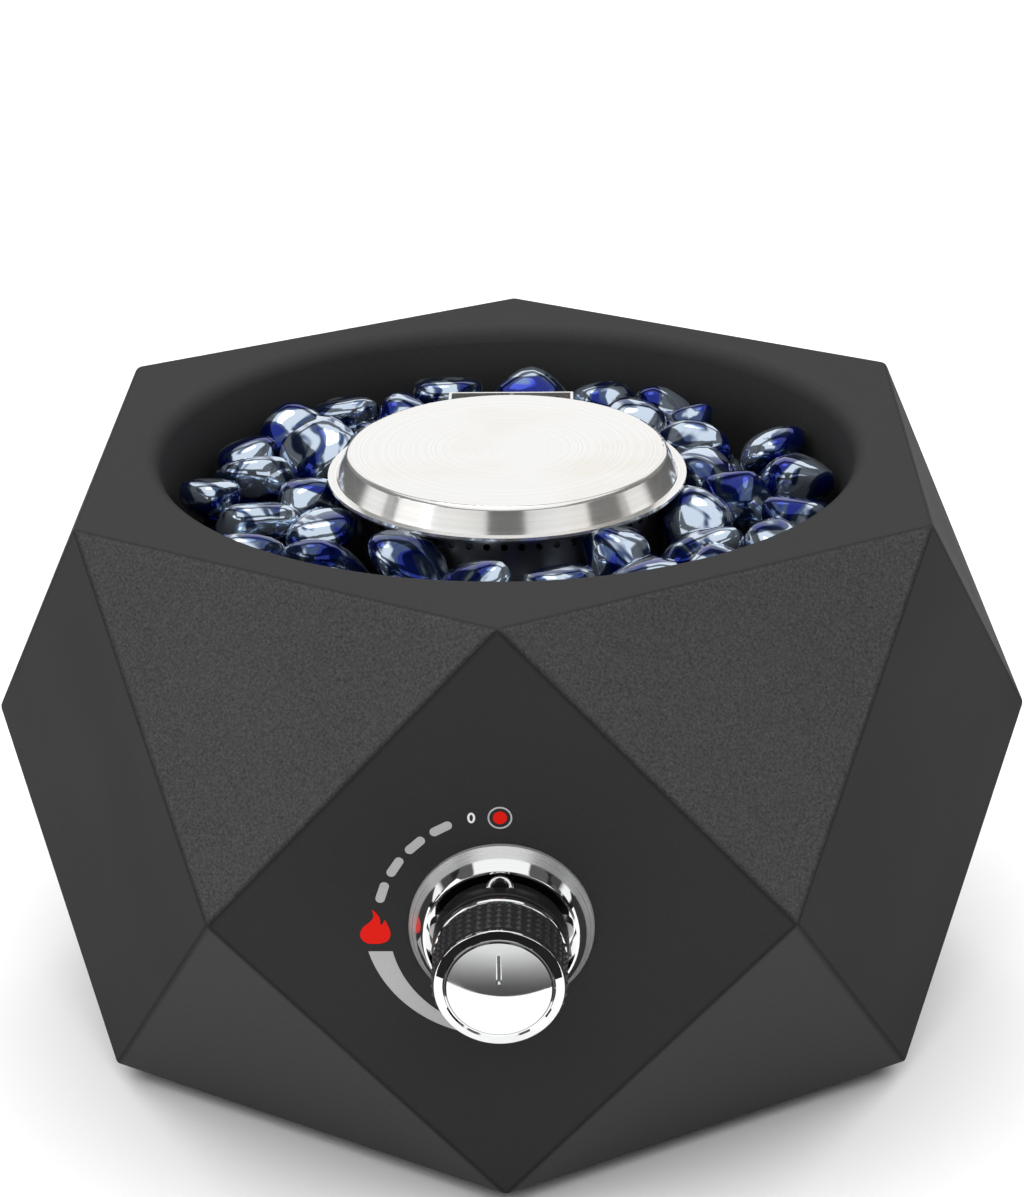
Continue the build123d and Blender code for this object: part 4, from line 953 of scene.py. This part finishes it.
class FIREPIT_OT_body(Operator):
    """Paint the skin, the deck with its bowl, and the base"""

    bl_idname = "firepit.body"
    bl_label = "Paint the body"

    def execute(self, context):
        finish_nodes("body_paint", "body_shell", "bowl_deck")
        finish_nodes("base_paint", "base_plate")
        return {"FINISHED"}


class FIREPIT_OT_burner(Operator):
    """Finish the burner's lid and drum, and the guard"""

    bl_idname = "firepit.burner"
    bl_label = "Finish the burner"

    def execute(self, context):
        finish_nodes("spun_steel", "burner_lid", "igniter_guard", "guard_rivets")
        finish_nodes("burnt_steel", "burner_drum")
        finish_nodes("mild_steel", "mixing_tube", "burner_locknut")
        return {"FINISHED"}


class FIREPIT_OT_glass(Operator):
    """Fill the bowl with tumbled glass, a pebble for each in the packed model"""

    bl_idname = "firepit.glass"
    bl_label = "Lay the fire glass"

    def execute(self, context):
        look = context.scene.firepit_glass
        rng = random.Random(look.seed)
        for node in ("fire_glass_lower", "fire_glass_upper"):
            bm = bmesh.new()
            for seat, size in loose_parts(node):
                shape_pebble(bm, seat, size, rng, look)
            name = node.replace("fire_glass", "pebbles")
            finish_piece(bm, name, "fire_glass", "body", (node,))
        return {"FINISHED"}


class FIREPIT_OT_knob(Operator):
    """Finish the knob, turn its bezel and mould the studs of its grip"""

    bl_idname = "firepit.knob"
    bl_label = "Finish the knob"

    def turned(self, outline, steps):
        """A closed outline of radii and heights before the panel, spun about the knob's axis."""
        bm = bmesh.new()
        line = [bm.verts.new(KNOB_SEAT + Vector((0, -rise, reach))) for reach, rise in outline]
        edges = [bm.edges.new(pair) for pair in zip(line, line[1:] + line[:1])]
        spun = {"cent": KNOB_SEAT, "axis": KNOB_AXIS, "angle": FULL_TURN, "steps": steps, "use_merge": True}
        bmesh.ops.spin(bm, geom=line + edges, **spun)
        close_up(bm)
        return bm

    def bezel(self, look):
        """Chrome collar on a coned satin foot, with the well that the knob dips into."""
        outer, bore = high("bezel").x, CORE_R + BORE_PLAY
        hole, floor = high("valve_stem").x, -low("valve_screws").y + PANEL_Y - WELL_UNDER_SCREWS
        foot = outer - look.cone_w
        width, drop = foot - bore, look.crest_h - FOOT_H
        slope = [(bore + width * across, look.crest_h - drop * down) for across, down in BREAKS]
        well = [(hole, 0.0), (hole, floor), (bore, floor), (bore, look.crest_h)]
        bm = self.turned([*well, *slope, (foot, FOOT_H), (outer, EDGE_H), (outer, 0.0)], steps=128)
        crest = []
        for edge in bm.edges:
            first, second = (vert.co - KNOB_SEAT for vert in edge.verts)
            level = abs(first.length - second.length) < MERGE
            if level and all(-off.y > look.crest_h - NEAR for off in (first, second)):
                crest.append(edge)
        rounding = {"offset": look.crest_round, "offset_type": "OFFSET", "segments": 5}
        bmesh.ops.bevel(bm, geom=crest, affect="EDGES", profile=0.5, material=-1, **rounding)
        piece = finish_piece(bm, "bezel_collar", "bezel_chrome", "body", ("bezel",))
        piece.data.set_sharp_from_angle(angle=math.radians(24))

    def grip(self, look):
        """Rubber sleeve with rows of blunt studs."""
        lo, hi = low("knob_grip"), high("knob_grip")
        outer, inner = hi.x, high("knob_cap").x * SLEEVE_BORE
        length = hi.y - lo.y
        rows = STUD_STEPS * look.stud_rows
        front, rear = PANEL_Y - lo.y, PANEL_Y - hi.y
        skin = [(outer, rear + length * i / rows) for i in range(rows + 1)]
        bm = self.turned([(inner, rear), *skin, (inner, front)], STUD_STEPS * look.studs)
        for vert in bm.verts:
            off = Vector((vert.co.x, 0, vert.co.z - KNOB_Z))
            if off.length < outer - NEAR:
                continue
            share = (hi.y - vert.co.y) / length
            across = math.cos(look.studs * math.atan2(off.x, off.z)) * 0.5 + 0.5
            along = 0.5 - math.cos(FULL_TURN * share * look.stud_rows) * 0.5
            vert.co -= off.normalized() * look.stud_h * (1 - across * along)
        piece = finish_piece(bm, "grip_studs", "rubber", "knob", ("knob_grip",))
        piece.data.set_sharp_from_angle(angle=math.radians(50))

    def index_arch(self, look):
        """Chrome arch over the index nub."""
        core = high("knob_core")
        lean = math.radians(45)
        wire_r = look.index_wire / 2
        seat = Vector((0, core.y - look.index_l, core.z - (look.index_r + wire_r) * math.cos(lean)))
        centre = (0, 0, 0)
        bm = bmesh.new()
        ring = bmesh.ops.create_circle(bm, segments=12, radius=wire_r)["verts"]
        bmesh.ops.translate(bm, verts=ring, vec=(look.index_r, 0, 0))
        spun = {"cent": centre, "axis": (0, 1, 0), "angle": -math.pi, "steps": 24, "use_merge": False}
        bmesh.ops.spin(bm, geom=ring + edges_of(ring), **spun)
        bmesh.ops.holes_fill(bm, edges=bm.edges)
        bmesh.ops.rotate(bm, verts=bm.verts, cent=centre, matrix=Matrix.Rotation(-lean, 3, "X"))
        bmesh.ops.translate(bm, verts=bm.verts, vec=seat)
        close_up(bm)
        finish_piece(bm, "index_arch", "chrome", "knob")

    def execute(self, context):
        look = context.scene.firepit_knob
        finish_nodes("chrome", "knob_ring")
        finish_nodes("cap_chrome", "knob_cap")
        finish_nodes("plastic", "knob_core")
        self.bezel(look)
        self.grip(look)
        self.index_arch(look)
        return {"FINISHED"}


class FIREPIT_OT_dial(Operator):
    """Print the dial round the knob: off mark, dashes, flame and sweep"""

    bl_idname = "firepit.dial"
    bl_label = "Print the dial"

    def lay(self, bm, name, finish, x=0.0, z=0.0):
        """Give a flat drawing its film of ink and lay it on the panel, x and z from the knob's axis."""
        bmesh.ops.recalc_face_normals(bm, faces=bm.faces)
        for face in bm.faces:
            if face.normal.z < 0:
                face.normal_flip()
        made = bmesh.ops.extrude_face_region(bm, geom=list(bm.faces), use_keep_orig=True)["geom"]
        lifted = [part for part in made if isinstance(part, bmesh.types.BMVert)]
        film = bpy.context.scene.firepit_dial.film
        bmesh.ops.translate(bm, verts=lifted, vec=(0, 0, film))
        bmesh.ops.recalc_face_normals(bm, faces=bm.faces)
        spot = Matrix.Translation(KNOB_SEAT + Vector((x, 0, z)))
        bmesh.ops.transform(bm, matrix=spot @ Matrix.Rotation(math.pi / 2, 4, "X"), verts=bm.verts)
        finish_piece(bm, name, finish, "body", (), smooth=False)

    def ring(self, segments, radii, ovals=(1, 1)):
        """A flat ring between two circles or ovals."""
        bm = bmesh.new()
        rims = []
        for radius, oval in zip(radii, ovals):
            verts = bmesh.ops.create_circle(bm, segments=segments, radius=radius)["verts"]
            bmesh.ops.scale(bm, verts=verts, vec=(oval, 1, 1))
            rims += verts
        bmesh.ops.bridge_loops(bm, edges=edges_of(rims))
        return bm

    def dash_row(self, look):
        """Round-ended dashes along the mark circle."""
        bm = bmesh.new()
        stretch = (look.dash_l - look.dash_w) / 2
        for i in range(look.dashes):
            verts = bmesh.ops.create_circle(bm, cap_ends=True, segments=32, radius=look.dash_w / 2)["verts"]
            for vert in verts:
                vert.co.x += math.copysign(stretch, vert.co.x)
            turn = Matrix.Rotation(DASH_START + DASH_STEP * i, 4, "Z")
            spot = turn @ Matrix.Translation((look.ring_r - DASH_INSET, 0, 0))
            bmesh.ops.transform(bm, matrix=spot @ Matrix.Rotation(math.pi / 2, 4, "Z"), verts=verts)
        return bm

    def flame(self, context, look):
        """The filled outline of the flame mark."""
        outline = bpy.data.curves.new("high_flame", "CURVE")
        outline.dimensions = "2D"
        outline.fill_mode = "BOTH"
        outline.resolution_u = 10
        spline = outline.splines.new("NURBS")
        spline.points.add(len(FLAME) - 1)
        for point, (x, y) in zip(spline.points, FLAME):
            point.co = (x, y, 0, 1)
        spline.order_u = 3
        spline.use_cyclic_u = True
        drawing = put(outline.name, outline)
        context.view_layer.update()
        flat = bpy.data.meshes.new_from_object(drawing.evaluated_get(context.evaluated_depsgraph_get()))
        bpy.data.objects.remove(drawing)
        bm = bmesh.new()
        bm.from_mesh(flat)
        bmesh.ops.remove_doubles(bm, verts=bm.verts, dist=NEAR)
        bpy.data.meshes.remove(flat)
        bmesh.ops.scale(bm, verts=bm.verts, vec=(look.flame_h / 2, look.flame_h / 2, 1))
        return bm

    def sweep(self, look):
        """A band that narrows along the mark circle, cut level at its start."""
        bm = bmesh.new()
        centre, angle = (0, 0, 0), SWEEP_END - SWEEP_START
        ends = [bm.verts.new((look.ring_r + side * look.sweep_w / 2, 0, 0)) for side in (-1, 1)]
        edge = bm.edges.new(ends)
        bmesh.ops.rotate(bm, cent=centre, matrix=Matrix.Rotation(SWEEP_START, 3, "Z"), verts=ends)
        spun = {"cent": centre, "axis": (0, 0, 1), "angle": angle, "steps": 36, "use_merge": False}
        bmesh.ops.spin(bm, geom=ends + [edge], **spun)
        for vert in bm.verts:
            turn = math.atan2(vert.co.y, vert.co.x) % FULL_TURN
            share = (turn - SWEEP_START) / angle
            width = 1 + share * (look.sweep_end_w / look.sweep_w - 1)
            reach = vert.co.length
            vert.co *= (look.ring_r + (reach - look.ring_r) * width) / reach
        cut = {"plane_co": (0, SWEEP_TOP, 0), "plane_no": (0, 1, 0), "clear_outer": True}
        bmesh.ops.bisect_plane(bm, geom=bm.verts[:] + bm.edges[:] + bm.faces[:], **cut)
        return bm

    def execute(self, context):
        look = context.scene.firepit_dial
        off_z = look.ring_r - OFF_INSET
        bm = bmesh.new()
        bmesh.ops.create_circle(bm, cap_ends=True, segments=48, radius=look.dot_r)
        self.lay(bm, "off_dot", "red_ink", z=off_z)
        bm = self.ring(64, (look.halo_r, look.halo_r - look.halo_w))
        self.lay(bm, "off_halo", "grey_ink", z=off_z)
        self.lay(self.dash_row(look), "dial_dashes", "grey_ink")
        flame_x, flame_z = FLAME_OFF
        self.lay(self.flame(context, look), "high_flame", "red_ink", flame_x - look.ring_r, flame_z)
        self.lay(self.sweep(look), "low_sweep", "grey_ink")
        half = look.numeral_h / 2
        bm = self.ring(48, (half, half - look.numeral_w), NUMERAL_OVALS)
        self.lay(bm, "off_numeral", "white_ink", NUMERAL_X, off_z)
        return {"FINISHED"}


class FIREPIT_OT_gas_train(Operator):
    """Finish the valve, pipes, jet, igniter and rear inlet"""

    bl_idname = "firepit.gas_train"
    bl_label = "Finish the gas train"

    def thread(self, look):
        """A ridge wound round the inlet's tube."""
        lo, hi = low("gas_inlet"), high("gas_inlet")
        axis = Vector(((lo.x + hi.x) / 2, 0, (lo.z + hi.z) / 2))
        start = hi.y - look.nose_l - look.thread_l
        turns = int(look.thread_l / look.pitch) - 1
        bm = bmesh.new()
        ridge = bmesh.ops.create_circle(bm, segments=4, radius=look.pitch * RIDGE_HALF)["verts"]
        bmesh.ops.scale(bm, verts=ridge, vec=(look.thread_h / look.pitch * 2, 1, 1))
        bmesh.ops.translate(bm, verts=ridge, vec=axis + Vector((look.tube_r, start + look.pitch, 0)))
        wind(bm, ridge, axis, look.pitch, turns)
        finish_piece(bm, "inlet_thread", "brass", "body", (), smooth=False)

    def coil(self, look):
        """The return spring, wound over the packed spring's length; on the real valve it is squeezed against
        the plug as the knob is pushed.
        """
        lo, hi = low("stem_spring"), high("stem_spring")
        axis = Vector((0, 0, KNOB_Z))
        span = hi.y - lo.y
        slack = 0.0001
        bm = bmesh.new()
        wire = bmesh.ops.create_circle(bm, segments=10, radius=look.coil_wire / 2)["verts"]
        start = Vector((hi.x - look.coil_wire / 2, lo.y + look.coil_wire / 2 + slack, 0))
        bmesh.ops.translate(bm, verts=wire, vec=axis + start)
        wind(bm, wire, axis, (span - look.coil_wire - 2 * slack) / look.coil_turns, look.coil_turns)
        piece = finish_piece(bm, "return_coil", "mild_steel", "body", ("stem_spring",))
        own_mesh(piece)

    def execute(self, context):
        finish_nodes("cast_alloy", "valve_body", "valve_bonnet", "jet_holder")
        finish_nodes("brass", "gas_jet", "pipe_nuts", "valve_plug", "valve_stem")
        finish_nodes("brass", "gas_inlet", "inlet_locknut")
        finish_nodes("drawn_alloy", "gas_pipe", "inlet_pipe")
        finish_nodes("mild_steel", "stem_spring", "thrust_washer", "electrode_rod", "electrode_clip")
        finish_nodes("plastic", "piezo_igniter", "igniter_wire")
        finish_nodes("ceramic", "electrode_insulator")
        self.thread(context.scene.firepit_fittings)
        self.coil(context.scene.firepit_fittings)
        return {"FINISHED"}


class FIREPIT_OT_fasteners(Operator):
    """Finish the screws and put a dark cross in each head, painted shade of its cross recess"""

    bl_idname = "firepit.fasteners"
    bl_label = "Finish the screws"

    def cross(self, bm, seat, way, look):
        """Two crossed dark bars sunk in a head's end face and standing just proud of it: painted shade of the
        cross recess.
        """
        thick, sunk = 0.0004, 0.00017
        turn = way.to_track_quat("Z", "Y").to_matrix().to_4x4()
        for arms in ((look.recess_l, look.recess_w), (look.recess_w, look.recess_l)):
            lay = Matrix.Translation(seat - way * sunk) @ turn @ Matrix.Diagonal((*arms, thick, 1.0))
            bmesh.ops.create_cube(bm, size=1.0, matrix=lay)

    def execute(self, context):
        look = context.scene.firepit_fittings
        finish_nodes("zinc", "base_screws", "valve_screws", "igniter_screw")
        bm = bmesh.new()
        heads = (("base_screws", (0, 0, -1)), ("valve_screws", (0, -1, 0)), ("igniter_screw", (0, 0, 1)))
        for node, way in heads:
            way = Vector(way)
            for seat, size in loose_parts(node):
                self.cross(bm, seat + way * (abs(size.dot(way)) / 2), way, look)
        finish_piece(bm, "screw_recess_shade", "plastic", "body", (), smooth=False)
        return {"FINISHED"}


class FIREPIT_OT_feet(Operator):
    """Finish the rubber feet"""

    bl_idname = "firepit.feet"
    bl_label = "Finish the feet"

    def execute(self, context):
        finish_nodes("rubber", *(f"rubber_foot_{i + 1}" for i in range(SIDES)))
        return {"FINISHED"}


class FIREPIT_OT_stage(Operator):
    """Set the floor, the soft lights and the camera"""

    bl_idname = "firepit.stage"
    bl_label = "Set the stage"

    def soft_light(self, name, spot, size, power):
        """A rectangular soft light that looks at the body."""
        lamp = bpy.data.lights.new(name, "AREA")
        lamp.shape = "RECTANGLE"
        lamp.size, lamp.size_y = size
        lamp.energy = power
        spot = Vector(spot)
        aim = (Vector((0, 0, KNOB_Z)) - spot).to_track_quat("-Z", "Y").to_matrix().to_4x4()
        put(name, lamp).matrix_world = Matrix.Translation(spot) @ aim

    def floor(self, look):
        """A wide pale floor."""
        bm = bmesh.new()
        bmesh.ops.create_grid(bm, x_segments=4, y_segments=4, size=20.0)
        made, tree, inputs = new_material("floor", Roughness=0.8)
        spot, _ = place(tree)
        cloud = noise(tree, spot, scale=3.0, detail=2.0)
        feed(tree, inputs["Base Color"], shade(tree, look.floor, ease(tree, cloud, *WIDE, 0.99, 1.01)))
        ground = put("floor", mesh_of(bm, "floor", made))

    def mirrored(self, tree, way, look):
        """Strength of the studio's windows, posts, stand and lamp, as polished pieces mirror them."""
        east, north, up = add(tree, "SeparateXYZ", Vector=way).outputs
        aside = reckon(tree, "ABSOLUTE", east)
        ahead = reckon(tree, "LESS_THAN", north, 0.0)
        behind = reckon(tree, "SUBTRACT", 1.0, ahead)
        panes = []
        for post, ends in ((FRONT_POST, FRONT_ENDS), (ROOF_POST, ROOF_ENDS), (WALL_POST, WALL_ENDS)):
            panes.append(reckon(tree, "MAXIMUM", ease(tree, aside, *post), ease(tree, aside, *ends)))
        front = times(tree, ease(tree, up, *FRONT_SILL), ease(tree, up, *FRONT_HEAD), panes[0], ahead)
        roof = times(tree, ease(tree, up, *ROOF_EAVES), panes[1])
        wall = times(tree, ease(tree, up, *WALL_SILL), ease(tree, up, *WALL_HEAD), panes[2], behind)
        stand = times(tree, ease(tree, aside, *STAND_SIDE), ease(tree, up, *STAND_TOP), ahead)
        light = reckon(tree, "MAXIMUM", reckon(tree, "MAXIMUM", roof, front), wall)
        light = times(tree, light, reckon(tree, "SUBTRACT", 1.0, stand), look.windows)
        lamp = add(tree, "VectorMath", {"operation": "DOT_PRODUCT"})
        feed(tree, lamp.inputs[0], way)
        feed(tree, lamp.inputs[1], Vector(LAMP_WAY).normalized())
        glint = ease(tree, lamp.outputs["Value"], *LAMP_EDGE, 0.0, look.glint)
        return reckon(tree, "ADD", reckon(tree, "ADD", light, DIMMEST), glint)

    def sky(self, look):
        """Overcast light from above, the studio that polished pieces mirror, and a white backdrop."""
        world = bpy.data.worlds.new("studio")
        world.use_nodes = True
        tree = world.node_tree
        tree.nodes.clear()
        way = tree.nodes.new("ShaderNodeTexCoord").outputs["Generated"]
        up = add(tree, "SeparateXYZ", Vector=way).outputs["Z"]
        overcast = times(tree, ease(tree, up, *OVERCAST), look.sky)
        strengths = (overcast, self.mirrored(tree, way, look), 1.0)
        lit, seen, drop = (add(tree, "Background", Color=(1, 1, 1), Strength=value) for value in strengths)
        rays = tree.nodes.new("ShaderNodeLightPath").outputs
        for kind, other in (("Is Glossy Ray", seen), ("Is Camera Ray", drop)):
            both = add(tree, "MixShader", Fac=rays[kind])
            tree.links.new(lit.outputs[0], both.inputs[1])
            tree.links.new(other.outputs[0], both.inputs[2])
            lit = both
        sink = tree.nodes.new("ShaderNodeOutputWorld")
        tree.links.new(lit.outputs[0], sink.inputs["Surface"])
        bpy.context.scene.world = world

    def card(self, look):
        """A graded card on the floor before the knob, seen only in polished pieces."""
        half_w, length, height = 30, 30, 0.001
        bow, bow_half_w = 9.5, 0.06
        bm = bmesh.new()
        bmesh.ops.create_grid(bm, x_segments=160, y_segments=1, size=1.0)
        for vert in bm.verts:
            vert.co.x = half_w * vert.co.x**3
            dip = bow * min(abs(vert.co.x), bow_half_w) ** 2
            vert.co.y = look.card_y - (dip if vert.co.y > 0 else length)
            vert.co.z = height
        matt = {"Base_Color": (0, 0, 0), "Roughness": 1.0, "Specular_IOR_Level": 0.0}
        made, tree, inputs = new_material("card", Emission_Strength=1.0, **matt)
        _, (x, y, _) = place(tree)
        middle = ease(tree, reckon(tree, "ABSOLUTE", x), *CARD_MIDDLE)
        near = ease(tree, y, look.card_y - CARD_GRADE, look.card_y, *CARD_LEVELS)
        far = ease(tree, y, *(look.card_y - depth for depth in CARD_FAR))
        grade = reckon(tree, "ADD", times(tree, near, far, middle), CARD_DIMMEST)
        feed(tree, inputs["Emission Color"], shade(tree, (1, 1, 1), grade))
        sheet = put("card", mesh_of(bm, "card", made))
        sheet.visible_camera = False
        sheet.visible_diffuse = False
        sheet.visible_shadow = False

    def camera(self, look):
        """Camera at the picture's angle."""
        lens = bpy.data.cameras.new("camera")
        lens.lens = look.lens
        lens.sensor_width = 36.0
        lens.shift_x, lens.shift_y = look.shift
        lens.clip_start, lens.clip_end = 0.01, 50.0
        made = put("camera", lens)
        back = Vector((0, -math.cos(look.pitch), math.sin(look.pitch))) * look.distance
        spot = Vector((look.side, 0, KNOB_Z)) + back
        tip = Matrix.Rotation(math.pi / 2 - look.pitch, 4, "X") @ Matrix.Rotation(look.roll, 4, "Z")
        made.matrix_world = Matrix.Rotation(look.turn, 4, "Z") @ Matrix.Translation(spot) @ tip
        bpy.context.scene.camera = made

    def execute(self, context):
        look = context.scene.firepit_stage
        context.scene.view_settings.view_transform = "Standard"
        self.floor(look)
        self.sky(look)
        self.card(look)
        self.soft_light("left_light", spot=(-1.6, -0.7, 0.9), size=(0.8, 1.2), power=look.fill)
        self.camera(look)
        return {"FINISHED"}


class FIREPIT_PT_panel(Panel):
    """The fire pit's steps and sizes"""

    bl_label = "Gas fire pit"
    bl_idname = "FIREPIT_PT_panel"
    bl_space_type = "VIEW_3D"
    bl_region_type = "UI"
    bl_category = "Fire pit"

    def draw(self, context):
        for step in STEPS:
            self.layout.operator(step.bl_idname)
        for name, look in LOOKS.items():
            box = self.layout.box()
            box.label(text=look.__doc__)
            for key in look.__annotations__:
                box.prop(getattr(context.scene, name), key)


STEPS = (
    FIREPIT_OT_body,
    FIREPIT_OT_burner,
    FIREPIT_OT_glass,
    FIREPIT_OT_knob,
    FIREPIT_OT_dial,
    FIREPIT_OT_gas_train,
    FIREPIT_OT_fasteners,
    FIREPIT_OT_feet,
    FIREPIT_OT_stage,
)


def register():
    """Add the classes and the scene's settings."""
    for part in (*LOOKS.values(), *STEPS, FIREPIT_PT_panel):
        bpy.utils.register_class(part)
    for name, look in LOOKS.items():
        setattr(bpy.types.Scene, name, PointerProperty(type=look))


def unregister():
    """Take the classes and settings out again."""
    for name in LOOKS:
        delattr(bpy.types.Scene, name)
    for part in reversed((*LOOKS.values(), *STEPS, FIREPIT_PT_panel)):
        bpy.utils.unregister_class(part)


def main():
    """Make every piece in order."""
    register()
    bpy.ops.firepit.body()
    bpy.ops.firepit.burner()
    bpy.ops.firepit.glass()
    bpy.ops.firepit.knob()
    bpy.ops.firepit.dial()
    bpy.ops.firepit.gas_train()
    bpy.ops.firepit.fasteners()
    bpy.ops.firepit.feet()
    bpy.ops.firepit.stage()


if __name__ == "__main__":
    main()
